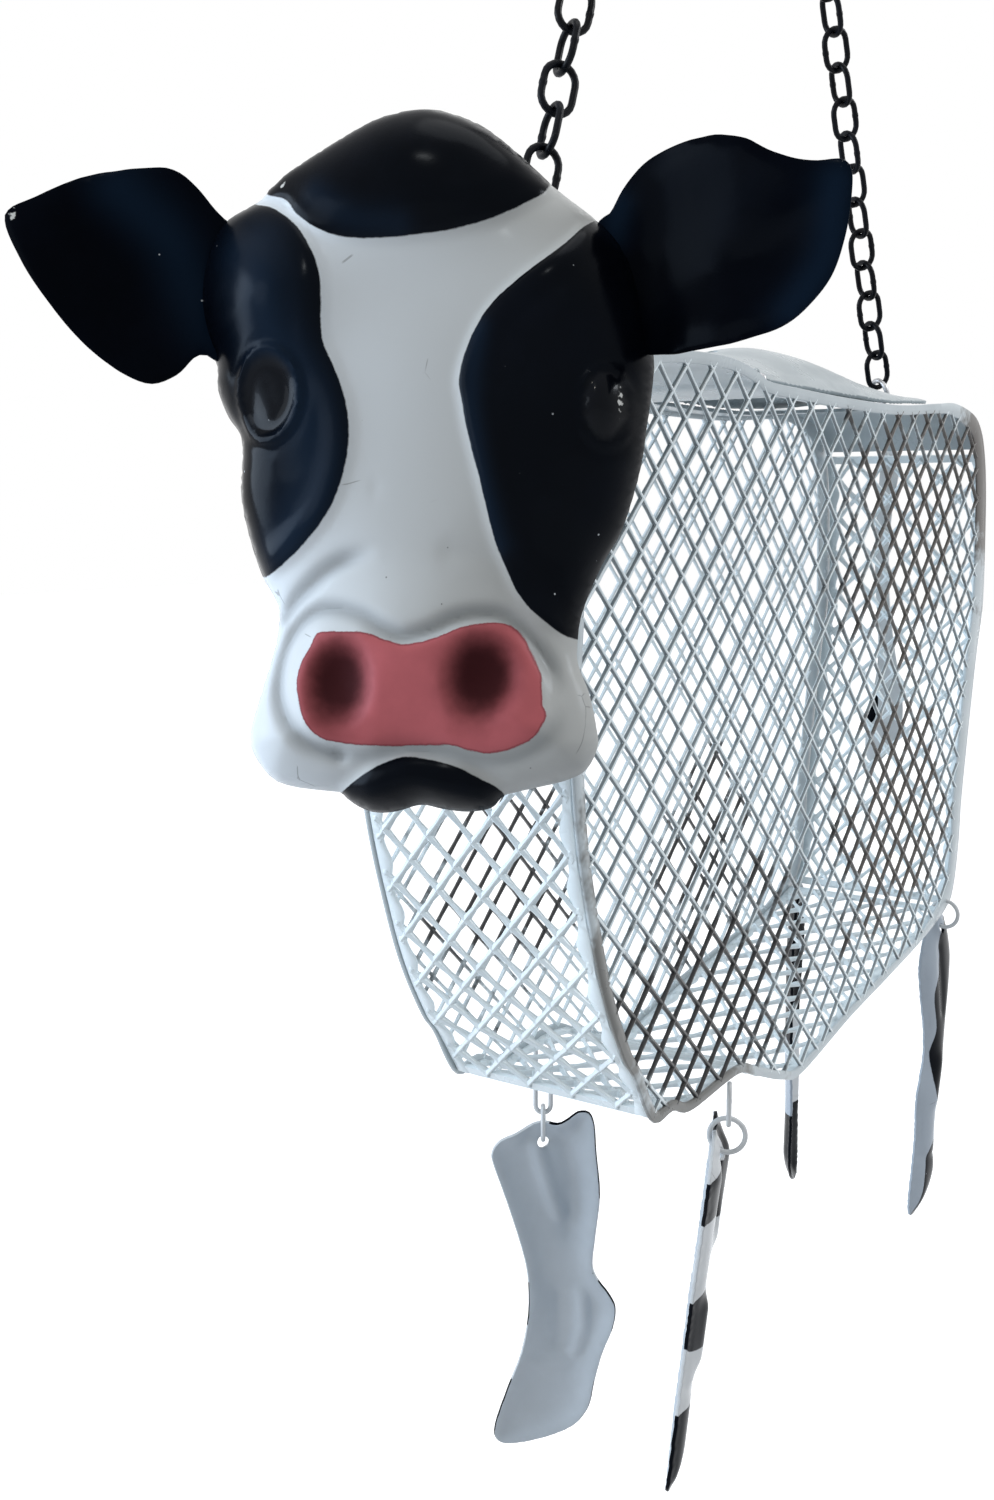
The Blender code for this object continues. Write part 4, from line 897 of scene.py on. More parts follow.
def patched_paint(name, nose=False, gloss=BLACK_GLOSS, tone=WHITE):
    """White paint with black patches whose distance is stored in the mesh, and on the face the pink nose."""
    mat, tree, shader, skin = start_paint(name, 0.17)
    shader.inputs["Specular IOR Level"].default_value = gloss
    shader.inputs["Specular Tint"].default_value = GLOSS_TINT
    place = place_mm(tree)
    line = brush_line(tree, stored(tree, "patch_edge"))
    white = mixed(tree, skin.outputs["Smudge"], tone, shaded(tone, 0.94))
    if nose:
        # painted light and shade: the face's white turns from lit to shaded across it
        across = add(tree, "ShaderNodeSeparateXYZ")
        wire(tree, place, across.inputs[0])
        white = mixed(tree, spread(tree, across.outputs["X"], *FACE_SHADING_SPAN), FACE_LIT_WHITE, FACE_SHADED_WHITE)
    white = mixed(tree, skin.outputs["Grain"], white, GRAIN_DARK)
    # hairline scratches: the edges of large cells, shown here and there
    web = add(tree, "ShaderNodeTexVoronoi", feature="DISTANCE_TO_EDGE")
    web.inputs["Scale"].default_value = SCRATCH_CELLS
    wire(tree, place, web.inputs["Vector"])
    hair = spread(tree, web.outputs["Distance"], *SCRATCH_LINE)
    hair = maths(tree, "MULTIPLY", hair, spread(tree, noise(tree, place, *SCRATCH_NOISE), *SCRATCH_SHOWS))
    colour = mixed(tree, maths(tree, "MULTIPLY", hair, 0.5), white, GRAIN_DARK)
    black = mixed(tree, skin.outputs["Smudge"], BLACK, shaded(BLACK, 1.7))
    # painted sheen: dark blue where the mesh stores it
    black = mixed(tree, stored(tree, "navy_sheen"), black, NAVY_SHEEN)
    black = mixed(tree, skin.outputs["Grain"], black, GRAIN_PALE)
    height = maths(tree, "MULTIPLY_ADD", line.outputs["Mask"], PATCH_HEIGHT, skin.outputs["Height"])
    rough = skin.outputs["Roughness"]
    if nose:
        colour, rough, height = nose_paint(tree, shader, skin, colour, rough, height)
    colour = mixed(tree, line.outputs["Mask"], colour, black)
    # bare metal where the paint is chipped, and the right eye's painted glint
    bare = maths(tree, "MULTIPLY_ADD", noise(tree, place, *CHIP_AND_GLINT_NOISE), 0.5, stored(tree, "chip_and_glint"))
    colour = mixed(tree, spread(tree, bare, *CHIP_AND_GLINT_SHOWS), colour, CHIPPED_AND_GLINT)
    finish_paint(tree, shader, colour, rough, height, DEEP_BUMP)
    return mat


WHITE_PAINT = plain_paint("white_paint", 0.3, WHITE, 0.93, GRAIN_DARK)
BLACK_PAINT = plain_paint("black_paint", 0.22, BLACK, 1.6, GRAIN_PALE, BLACK_GLOSS)
BARE_STEEL = bare_steel()
CHAIN_PAINT = chain_paint()
LEG_INSIDE = leg_inside()
FACE_PAINT = patched_paint("face_paint", nose=True)
PATCH_PAINT = patched_paint("patch_paint")
REAR_SHADED_PAINT = patched_paint("rear_leg_shaded_paint", tone=REAR_SHADED_WHITE)
EAR_PAINT = patched_paint("ear_paint", gloss=EAR_GLOSS)


def net_paint(name, white_tone, sprayed):
    """White paint on the net and its rims, with painted shade on the cut faces, and the places painted dark:
    black sprays, and on the rims also painted shade.
    """
    mat, tree, shader, skin = start_paint(name, 0.26, 1.0, 0.6)
    cloud = noise(tree, place_mm(tree), *SPRAY_AND_SHADE_NOISE)
    # dark sprays, and on the rims also painted shade
    spray = maths(tree, "MULTIPLY_ADD", maths(tree, "SUBTRACT", cloud, 0.5), 1.5, stored(tree, "spray_and_shade"))
    white = mixed(tree, skin.outputs["Smudge"], white_tone, shaded(white_tone, 0.9))
    # painted shade on the cut faces
    white = mixed(tree, stored(tree, "cut_face_shade"), white, CUT_FACE_SHADE)
    dark = mixed(tree, stored(tree, "brown_spray"), sprayed, SPRAY_BROWN)
    colour = mixed(tree, spread(tree, spray, *SPRAY_AND_SHADE_SHOWS), white, dark)
    finish_plain(tree, shader, colour, skin, FINE_BUMP)
    return mat


NET_PAINT = net_paint("net_paint", NET_WHITE, SPRAY_BLACK)
RIM_PAINT = net_paint("rim_paint", RIM_WHITE, RIM_SPRAY_AND_SHADE_GREY)
SHEET_PAINT = net_paint("sheet_paint", SHEET_WHITE, RIM_SPRAY_AND_SHADE_GREY)


# Making the head

def head_matrix():
    """From the head's own plane, X across and Z up, to the frame."""
    ahead = Vector((math.sin(HEAD_TURN), -math.cos(HEAD_TURN), 0.0))
    right = Vector((math.cos(HEAD_TURN), math.sin(HEAD_TURN), 0.0))
    up = UP * math.cos(HEAD_LEAN) - ahead * math.sin(HEAD_LEAN)
    return matrix_of(right, -right.cross(up), up, HEAD_MIDDLE)


HEAD = head_matrix()
CAMERA_AHEAD = Vector((-math.sin(CAMERA_TURN) * math.cos(CAMERA_DIP),
                       math.cos(CAMERA_TURN) * math.cos(CAMERA_DIP), -math.sin(CAMERA_DIP)))
CAMERA_RIGHT = Vector((math.cos(CAMERA_TURN), math.sin(CAMERA_TURN), 0.0))
CAMERA_UP = CAMERA_RIGHT.cross(CAMERA_AHEAD)


def on_head(pixels, height_of):
    """Places on the head's plane, in millimetres, of points drawn in the photograph's pixels."""
    back = HEAD.inverted()
    eye = np.array(back @ CAMERA_AT) / MM
    turn = np.array(back.to_3x3())
    pixels = np.asarray(pixels, float)
    rays = (np.array(CAMERA_AHEAD)[None, :]
            + (pixels[:, :1] - PICTURE_MIDDLE[0]) / PICTURE_FOCAL * np.array(CAMERA_RIGHT)[None, :]
            - (pixels[:, 1:2] - PICTURE_MIDDLE[1]) / PICTURE_FOCAL * np.array(CAMERA_UP)[None, :])
    rays = rays @ turn.T
    height = np.zeros(len(pixels))
    for _ in range(12):
        reach = (-height - eye[1]) / rays[:, 1]
        spots = np.stack([eye[0] + reach * rays[:, 0], eye[2] + reach * rays[:, 2]], axis=1)
        height = height_of(spots)
    return spots


def rim_height(spots):
    """How far the shell's edge comes forward towards the muzzle."""
    return MUZZLE_RIM * ramp((-spots[:, 1] - MUZZLE_FROM) / MUZZLE_OVER)


EAR_FINE = smooth_line(list(zip(EAR_ACROSS, EAR_RISE)), 6, False)


def ear_form(spots):
    return np.interp(np.abs(spots[:, 0]), EAR_FINE[:, 0], EAR_FINE[:, 1])


FACE_RING = on_head(even_ring(smooth_line(FACE_EDGE, 6, True), 4.0), rim_height)


def face_form(spots):
    """The face's large form before its details, in millimetres in front of the rim plane."""
    far = np.maximum(-edge_distance(spots, FACE_RING), 0.0)
    rise = np.sqrt(np.clip(1 - (1 - np.minimum(far / HEAD_ROUNDING, 1.0)) ** 2, 0.0, 1.0))
    form = rim_height(spots) + HEAD_DOME * rise * (1 - 0.2 * ramp((-spots[:, 1] - 10.0) / 40.0))
    for sign in (1, -1):
        for x, z, wide, tall, most in PAIRED_SWELLINGS:
            form = form + rise * most * hump(spots, x * sign, z, wide, tall)
    for x, z, wide, tall, most in MIDDLE_SWELLINGS:
        form = form + rise * most * hump(spots, x, z, wide, tall)
    return form


def drawn(pixels):
    """Closed ring on the face, a point per millimetre, of an outline drawn in pixels."""
    return even_ring(on_head(even_ring(smooth_line(pixels, 6, True), 3.0), face_form), 1.0)


CREST_RING = drawn(CREST_PATCH)
LEFT_RING = drawn(LEFT_PATCH)
RIGHT_RING = drawn(RIGHT_PATCH)
NOSE_RING = drawn(NOSE_PATCH)
CHIN_RING = drawn(CHIN_PATCH)


def oval_share(spots, oval):
    """Share of the way from an oval's middle, drawn in pixels, to its edge."""
    x, y, wide, tall = oval
    marks = on_head([(x, y), (x - wide, y), (x + wide, y), (x, y - tall), (x, y + tall)], face_form)
    middle = (marks[1] + marks[2] + marks[3] + marks[4]) / 4
    half_x = np.linalg.norm(marks[2] - marks[1]) / 2
    half_z = np.linalg.norm(marks[4] - marks[3]) / 2
    return np.hypot((spots[:, 0] - middle[0]) / half_x, (spots[:, 1] - middle[1]) / half_z), middle


def raised(edge, rise, start, width):
    """Relief that rises inwards from a patch's edge."""
    return rise * ramp((start - edge) / width)


def face_relief(spots):
    """The face's form with its details, and the values that its paint reads, in millimetres or as shares."""
    form = face_form(spots)
    inside = ramp(-edge_distance(spots, FACE_RING) / 5.0)
    # the black patches stand up at their edges, the two at the eyes with a low hollow within
    patch = np.minimum(edge_distance(spots, LEFT_RING), edge_distance(spots, RIGHT_RING))
    form = form + inside * (raised(patch, *PATCH_LIP) - raised(patch, *PATCH_HOLLOW))
    crest = edge_distance(spots, CREST_RING)
    form = form + raised(crest, *CREST_LIP) + raised(crest, *CREST_DOME)
    # the chin's swell with the fold over it, and the nose's raised pad
    chin = edge_distance(spots, CHIN_RING)
    form = form + inside * 1.8 * ramp(-chin / 5.0) - inside * 1.3 * bead(chin, 1.2, 1.6)
    nose = edge_distance(spots, NOSE_RING)
    form = form + raised(nose, *NOSE_PAD)
    # grooves and folds, with painted shade in them, and a faint twin of the nose's fold on the other side
    groove_shade = np.zeros(len(spots))
    for pixels, wide, deep, tone in GROOVES:
        line = on_head(smooth_line(pixels, 4, False), face_form)
        away = line_distance(spots, line)
        fade = ramp(np.hypot(*(spots - line[-1]).T) / GROOVE_FADE)
        form = form - inside * deep * fade * bead(away, 0.0, wide)
        groove_shade = np.maximum(groove_shade, tone * fade * bead(away, 0.0, 1.15 * wide))
        if pixels is NOSE_FOLD:
            twin = line * np.array([-1.0, 1.0])
            form = form - inside * 0.5 * bead(line_distance(spots, twin), 0.0, 2.6)
    dent = on_head([DENT], face_form)[0]
    form = form - 0.25 * hump(spots, *dent, 1.1, 1.8)
    # nostrils, with a shadow painted in them
    hole = np.zeros(len(spots))
    for oval in NOSTRILS:
        share, middle = oval_share(spots, oval)
        form = form - NOSTRIL_DEPTH * (1 - np.clip(share, 0.0, 1.0) ** 2) ** 1.5
        shadow = np.hypot((spots[:, 0] - middle[0] + 0.8) / NOSTRIL_SHADOW[0],
                          (spots[:, 1] - middle[1] - 0.6) / NOSTRIL_SHADOW[1])
        hole = np.maximum(hole, 1 - ramp((shadow - 0.05) / 1.0))
    # eyes: a socket, a ball in it and a lid's ring round it
    eye_ball = np.zeros(len(spots))
    for oval, deep, tall in zip(EYES, EYE_DEPTHS, EYE_BALLS):
        share, _ = oval_share(spots, oval)
        ball = np.sqrt(np.clip(1 - (share / 0.84) ** 2, 0.0, 1.0))
        eye_ball = np.maximum(eye_ball, ramp((0.9 - share) / 0.12))
        form = form - deep * (1 - ramp((share - 0.6) / 0.36)) + tall * ball
        form = form + EYE_RING * bead(share, 1.0, 0.06) - 0.3 * bead(share, 1.2, 0.1)
    # chips in the paint, and the right eye's painted glint
    chip_and_glint = np.zeros(len(spots))
    for place in CHIPS_AND_GLINT[2:]:
        chip_and_glint = np.maximum(chip_and_glint, chip_share(spots, face_form, *place))
    black = np.minimum(np.minimum(patch, crest), chin)
    return form, {"patch_edge": black, "nose_edge": nose, "nostril": hole, "chip_and_glint": chip_and_glint, "groove_shade": groove_shade,
                  "eye_ball": eye_ball}


def navy_sheen_share(spots, lines, height_of):
    """How strong the painted dark blue sheen on the black paint is along lines drawn in pixels."""
    share = np.zeros(len(spots))
    for points, wide, most in lines:
        line = on_head(smooth_line(points, 4, False), height_of)
        share = np.maximum(share, most * bead(line_distance(spots, line), 0.0, wide))
    return share


def chip_share(spots, height_of, x, y, wide, tall):
    """Rises towards a place, drawn in pixels, where the paint is chipped off, and on the right eye towards a
    painted glint.
    """
    middle = on_head([(x, y)], height_of)[0]
    return np.exp(-np.hypot((spots[:, 0] - middle[0]) / (wide * PIXEL),
                            (spots[:, 1] - middle[1]) / (tall * PIXEL)))


def filled_sheet(ring, step, hole=None):
    """Points and triangles that fill a ring evenly. A hole is round, given as its middle and its radius."""
    low = ring.min(axis=0)
    high = ring.max(axis=0)
    rows = []
    z = low[1]
    shift = 0.0
    while z < high[1]:
        xs = np.arange(low[0] + shift, high[0], step)
        rows.append(np.stack([xs, np.full(len(xs), z)], axis=1))
        shift = step / 2 - shift
        z += step * math.sqrt(3) / 2
    grid = np.vstack(rows)
    grid = grid[edge_distance(grid, ring) < -0.62 * step]
    lines = [ring]
    edges = []
    if hole is not None:
        middle = np.array(hole[:2])
        turns = np.arange(HOLE_SIDES) * math.tau / HOLE_SIDES
        rim = middle + hole[2] * np.stack([np.cos(turns), np.sin(turns)], axis=1)
        grid = grid[np.linalg.norm(grid - middle, axis=1) > hole[2] + 0.5 * step]
        edges = [(len(ring) + i, len(ring) + (i + 1) % HOLE_SIDES) for i in range(HOLE_SIDES)]
        lines.append(rim)
    spots = [Vector(p) for p in np.vstack(lines + [grid])]
    made = delaunay_2d_cdt(spots, edges, [list(range(len(ring)))], 1, 1e-5)
    spots = np.array([tuple(v) for v in made[0]])
    faces = made[2]
    if hole is not None:
        faces = [f for f in faces if np.linalg.norm(spots[list(f)].mean(axis=0) - middle) > hole[2] * 0.98]
    return spots, faces


def calm(spots, faces, values, rounds):
    """Smooth values over a triangle mesh."""
    pairs = {(min(a, b), max(a, b)) for f in faces for a, b in zip(f, f[1:] + f[:1])}
    pairs = np.array(sorted(pairs))
    for _ in range(rounds):
        total = np.zeros(len(spots))
        count = np.zeros(len(spots))
        for a, b in ((0, 1), (1, 0)):
            np.add.at(total, pairs[:, a], values[pairs[:, b]])
            np.add.at(count, pairs[:, a], 1.0)
        values = 0.5 * values + 0.5 * total / count
    return values


def stamped(name, spots, faces, height, matrix, thickness, edge, values=None):
    """A stamped sheet: height in millimetres in front of a plane, then its thickness and rounded edges."""
    verts = [matrix @ Vector((x * MM, -h * MM, z * MM)) for (x, z), h in zip(spots, height)]
    obj = piece(name, verts, faces)
    for label, numbers in (values or {}).items():
        store(obj, label, numbers)
    front = matrix.to_3x3() @ Vector((0.0, -1.0, 0.0))
    mesh = obj.data
    if sum(p.normal.dot(front) * p.area for p in mesh.polygons) < 0:
        mesh.flip_normals()
    for mat in (WHITE_PAINT, BLACK_PAINT):
        mesh.materials.append(mat)
    wall = thicken(obj, thickness)
    wall.material_offset = 1
    wall.material_offset_rim = 0
    rounding = round_edges(obj, edge)
    rounding.limit_method = "ANGLE"
    rounding.angle_limit = math.radians(60)
    apply_all(obj)
    soften(obj, SHEET_ANGLE)
    return obj


def make_head():
    spots, faces = filled_sheet(even_ring(FACE_RING, 1.0), FACE_STEP)
    height, values = face_relief(spots)
    left_eye, _ = oval_share(spots, EYES[0])
    values["navy_sheen"] = navy_sheen_share(spots, NAVY_SHEEN_FACE, face_form) * ramp((left_eye - 0.7) / 0.3)
    height = calm(spots, faces, height, 1)
    face = stamped("head_face", spots, faces, height, HEAD, HEAD_SHEET, HEAD_EDGE, values)
    show(face, "head_shell", "feeder", "white_paint", FACE_PAINT, WHITE_PAINT)
    for name, pixels, chip_and_glint, lines in (("left_ear", LEFT_EAR, CHIPS_AND_GLINT[0], NAVY_SHEEN_LEFT_EAR),
                                      ("right_ear", RIGHT_EAR, CHIPS_AND_GLINT[1], NAVY_SHEEN_RIGHT_EAR)):
        ring = even_ring(on_head(even_ring(smooth_line(pixels, 6, True), 4.0), ear_form), 1.2)
        spots, faces = filled_sheet(ring, EAR_STEP)
        far = -edge_distance(spots, ring)
        # dished, with a small lip along the edge
        height = ear_form(spots) - 3.0 * ramp(far / 17.0) - 0.7 * (1 - ramp(far / 1.6))
        values = {"patch_edge": np.full(len(spots), -9.0), "chip_and_glint": chip_share(spots, ear_form, *chip_and_glint),
                  "navy_sheen": navy_sheen_share(spots, lines, ear_form)}
        ear = stamped(name, spots, faces, calm(spots, faces, height, 6), HEAD, HEAD_SHEET, HEAD_EDGE, values)
        show(ear, "head_shell", "feeder", "black_paint", EAR_PAINT, BLACK_PAINT)


make_head()


# Making the body

def at(along, up):
    return Vector((0.0, FRONT_Y + along * BODY_LENGTH, BASE_Z + up * BODY_HEIGHT))


SIDE_POINTS = [at(*share) for share in SIDE]


def side_ring():
    """The side's outline as (y, z) with its rim width, evenly spaced and a little rounded."""
    table = np.array([(p.y, p.z, r * MM) for p, r in zip(SIDE_POINTS, RIMS)])
    fine = smooth_line(table, 6, True)
    return even_ring(fine, 2.2 * MM)


def inward_normals(ring):
    run = np.roll(ring, -1, axis=0)[:, :2] - np.roll(ring, 1, axis=0)[:, :2]
    run /= np.linalg.norm(run, axis=1)[:, None]
    return np.stack([run[:, 1], -run[:, 0]], axis=1)


RIM_RING = side_ring()
RIM_INWARD = inward_normals(RIM_RING)


def side_rim(name, sign):
    """The side's solid rim, a flat band with rounded edges."""
    profile = ((0.0, 0.25), (0.0, 0.75), (0.06, 1.0), (0.5, 1.08), (0.92, 1.0), (1.0, 0.75), (1.0, 0.25),
               (0.92, 0.0), (0.5, -0.04), (0.06, 0.0))
    inner = sign * (BODY_HALF - SHEET)
    verts = []
    for (y, z, wide), (ny, nz) in zip(RIM_RING, RIM_INWARD):
        for across, deep in profile:
            verts.append((inner + sign * SHEET * deep, y + ny * wide * across, z + nz * wide * across))
    obj = piece(name, verts, tube_faces(len(RIM_RING), len(profile), True))
    face_out(obj)
    soften(obj, SHEET_ANGLE)
    return obj


def strand_blank():
    """One strand of the net from knot to knot, flat with chamfered edges, along X from 0 to 1."""
    clear_selection()
    bpy.ops.mesh.primitive_cube_add(size=1.0, location=(0.5, 0.0, 0.0))
    obj = bpy.context.object
    settle(obj)
    bpy.ops.object.mode_set(mode="EDIT")
    bpy.ops.mesh.select_all(action="SELECT")
    bpy.ops.mesh.bevel(offset=0.17, segments=1, affect="EDGES")
    bpy.ops.object.mode_set(mode="OBJECT")
    work = bmesh.new()
    work.from_mesh(obj.data)
    bmesh.ops.delete(work, geom=[f for f in work.faces if abs(f.normal.x) > 0.1], context="FACES")
    for cut in (0.2, 0.5, 0.8):
        bmesh.ops.bisect_plane(work, geom=work.verts[:] + work.edges[:] + work.faces[:],
                               plane_co=(cut, 0.0, 0.0), plane_no=(1.0, 0.0, 0.0))
    work.to_mesh(obj.data)
    work.free()
    verts, faces = taken(obj)
    verts[:, 0] = (verts[:, 0] - verts[:, 0].min()) / np.ptp(verts[:, 0])
    swell = np.clip((np.abs(verts[:, 0] - 0.5) - 0.25) / 0.25, 0.0, 1.0)
    return verts, faces, swell


def knot_blank():
    """The lump where strands meet, of radius 1."""
    clear_selection()
    bpy.ops.mesh.primitive_ico_sphere_add(subdivisions=1, radius=1.0, location=(0.0, 0.0, 0.0))
    return taken(bpy.context.object)


STRAND = strand_blank()
KNOT = knot_blank()


def face_normal(spots, face):
    a, b, c = (Vector(spots[i]) for i in face[:3])
    return (b - a).cross(c - a).normalized()


def lattice(ring, long, tall, start):
    """Strands of an expanded sheet within a ring of the plane: their two ends, and the knots."""
    low = ring.min(axis=0)
    high = ring.max(axis=0)
    columns = int((high[0] - low[0]) / long) + 3
    rows = int((high[1] - low[1]) / tall) * 2 + 5
    knots = {}
    for r in range(-1, rows):
        for c in range(-1, columns):
            a = low[0] + (c + (0.5 if r % 2 else 0.0)) * long
            b = low[1] + start + (r - 1) * tall / 2
            knots[(r, c)] = (a, b)
    keys = list(knots)
    spots = np.array([knots[k] for k in keys])
    far = dict(zip(keys, edge_distance(spots, ring)))
    strands = []
    ends = []
    for (r, c), here in knots.items():
        for step in (0, 1):
            other = (r + 1, c + step - (0 if r % 2 else 1))
            if other not in knots:
                continue
            there = knots[other]
            p, q = far[(r, c)], far[other]
            if p > 0 and q > 0:
                continue
            a, b = np.array(here), np.array(there)
            if p > 0:
                a = b + (a - b) * (-q / (p - q))
                ends.append(tuple(a))
            elif q > 0:
                b = a + (b - a) * (-p / (q - p))
                ends.append(tuple(b))
            if np.linalg.norm(b - a) > long * SHORTEST_STRAND:
                strands.append((a, b))
    return strands, [knots[k] for k in keys if far[k] < 0] + ends


def net_mesh(name, ring, long, tall, start, place, strand, toward, knot_run, cut_shade):
    """Expanded metal within a ring. place turns flat spots into points and outward directions, strand is
    one of the tables above, and cut_shade is how strong the painted shade on its cut faces is."""
    deep, wide, swell, lean_turn, knot_half = strand
    strands, knots = lattice(ring, long, tall, start)
    blank, blank_faces, swelling = STRAND
    verts = []
    faces = []
    cut = []
    # painted shade on each strand's flat cut faces
    shade_blank = [cut_shade if abs(face_normal(blank, face)[2]) > 0.9 else 0.0 for face in blank_faces]

    def axes(run, out):
        side = out.cross(run).normalized()
        if side.dot(toward) < 0:
            side = -side
        lean = out * math.cos(lean_turn) + side * math.sin(lean_turn)
        return lean, run.cross(lean)

    for a, b in strands:
        foot, _ = place(a)
        head, _ = place(b)
        _, out = place((a + b) / 2)
        run = head - foot
        size = run.length
        run /= size
        lean, thin = axes(run, out)
        base = len(verts)
        for (x, y, z), more in zip(blank, swelling):
            grow = 1.0 + more * swell
            verts.append(foot + run * (x * size) + lean * (y * deep * grow) + thin * (z * wide * grow))
        faces.extend(tuple(base + i for i in face) for face in blank_faces)
        cut.extend(shade_blank)
    blank, blank_faces = KNOT
    for spot in knots:
        middle, out = place(np.array(spot))
        ahead, _ = place(np.array(spot) + np.array(knot_run) * MM)
        run = (ahead - middle).normalized()
        lean, thin = axes(run, out)
        base = len(verts)
        for x, y, z in blank:
            verts.append(middle + run * (x * knot_half[0] * wide) + lean * (y * knot_half[1] * deep)
                         + thin * (z * knot_half[2] * wide))
        faces.extend(tuple(base + i for i in face) for face in blank_faces)
        cut.extend([0.0] * len(blank_faces))
    obj = piece(name, verts, faces)
    store(obj, "cut_face_shade", cut, "FACE")
    face_out(obj, 0.0)
    soften(obj, 40)
    return obj


# Places of the nets, then of the rims, that are painted dark: side, along, up and half sizes, in millimetres.
# The nets' are black sprays; of the rims', the first is a spray and the two at the lower front are painted
# shade.
BLACK_SPRAYS = (
    (1, -45.0, -482.0, 52.0, 30.0), (1, 78.0, -368.0, 50.0, 40.0), (1, 76.0, -455.0, 44.0, 38.0),
    (1, 140.0, -350.0, 14.0, 26.0), (-1, -53.0, -452.0, 38.0, 34.0), (-1, 60.0, -470.0, 30.0, 30.0))
RIM_SPRAYS_AND_SHADE = ((1, 146.0, -350.0, 24.0, 34.0), (1, -62.0, -502.0, 40.0, 30.0), (1, -95.0, -455.0, 12.0, 40.0))
# Where the spray turns brown: from this far along the body, over this length, in millimetres
BROWN_FROM = 15.0
BROWN_OVER = 50.0


def store_spray_and_shade(obj, sprays):
    """Store on each point of a side how dark it is painted, by black sprays and by painted shade, and how
    brown.
    """
    co = mesh_points(obj.data) / MM
    value = np.zeros(len(co))
    for sign, y, z, wide, tall in sprays:
        near = 1 - 0.5 * np.hypot((co[:, 1] - y) / wide, (co[:, 2] - z) / tall)
        value = np.maximum(value, np.where(co[:, 0] * sign > 20.0, near, 0.0))
    store(obj, "spray_and_shade", np.clip(value, 0.0, 1.0))
    store(obj, "brown_spray", ramp((co[:, 1] - BROWN_FROM) / BROWN_OVER) * (co[:, 0] > 0))


def make_side(name, node, sign):
    """One flat side: its net, whose strands end in its rim, and the rim."""
    middle = sign * (BODY_HALF - SHEET / 2)
    inner = RIM_RING[:, :2] + RIM_INWARD * (RIM_RING[:, 2:3] - RIM_HOLD)
    outward = Vector((sign, 0.0, 0.0))

    def place(spot):
        return Vector((middle, spot[0], spot[1])), outward

    # the near net's cut faces get the full painted shade, the far net's less
    net = net_mesh(name + "_net", inner, SIDE_LONG, SIDE_TALL, SIDE_START, place, SIDE_STRAND, ALONG_Y,
                   (0.0, 1.0), 1.0 if sign > 0 else FAR_CUT_SHADE)
    rim = side_rim(name + "_rim", sign)
    for obj, sprays, paint in ((net, BLACK_SPRAYS, NET_PAINT), (rim, RIM_SPRAYS_AND_SHADE, RIM_PAINT)):
        store_spray_and_shade(obj, sprays)
        show(obj, node, "feeder", "white_paint", paint)


make_side("left_side", "side_panel_left", 1)
make_side("right_side", "side_panel_right", -1)


class Way:
    """The middle of a bent strip: a path in the body's long plane, moved inwards from the outline."""

    def __init__(self, points, depth):
        moved = []
        for i, here in enumerate(points):
            before = points[max(i - 1, 0)]
            after = points[min(i + 1, len(points) - 1)]
            run = (after - before).normalized()
            moved.append(here + Vector((0.0, run.z, -run.y)) * depth)
        line = smooth_line([(p.y, p.z) for p in moved], 8, False)
        self.line = line
        self.marks = np.concatenate([[0.0], np.cumsum(np.linalg.norm(np.diff(line, axis=0), axis=1))])
        self.length = self.marks[-1]

    def __call__(self, spot):
        run = min(max(spot[0], 0.0), self.length)
        y = np.interp(run, self.marks, self.line[:, 0])
        z = np.interp(run, self.marks, self.line[:, 1])
        i = int(np.clip(np.searchsorted(self.marks, run) - 1, 0, len(self.line) - 2))
        step = self.line[i + 1] - self.line[i]
        step /= np.linalg.norm(step)
        return Vector((spot[1], y, z)), Vector((0.0, -step[1], step[0]))


def band(name, way, low, high, side_from, side_to, wave_from=0.0, wave_to=0.0):
    """Solid band of a strip, from a place along it to another, with rounded edges that can be wavy."""
    steps = max(2, int((high - low) / (WAVE_STEP if wave_from or wave_to else BAND_STEP)))
    profile = ((0.0, 0.3), (0.0, -0.3), (0.08, -0.5), (0.92, -0.5),
               (1.0, -0.3), (1.0, 0.3), (0.92, 0.5), (0.08, 0.5))
    verts = []
    for i in range(steps + 1):
        run = low + (high - low) * i / steps
        wave = (0.5 + 0.5 * math.cos(math.tau * (run - low) / STRIP_LONG)) ** 2
        start, end = side_from + wave_from * wave, side_to + wave_to * wave
        for across, deep in profile:
            point, out = way((run, start + (end - start) * across))
            verts.append(point + out * (SHEET * deep))
    n = len(profile)
    faces = tube_faces(steps + 1, n, False)
    faces.append(tuple(range(n))[::-1])
    faces.append(tuple(range(steps * n, steps * n + n)))
    obj = piece(name, verts, faces)
    face_out(obj)
    return obj


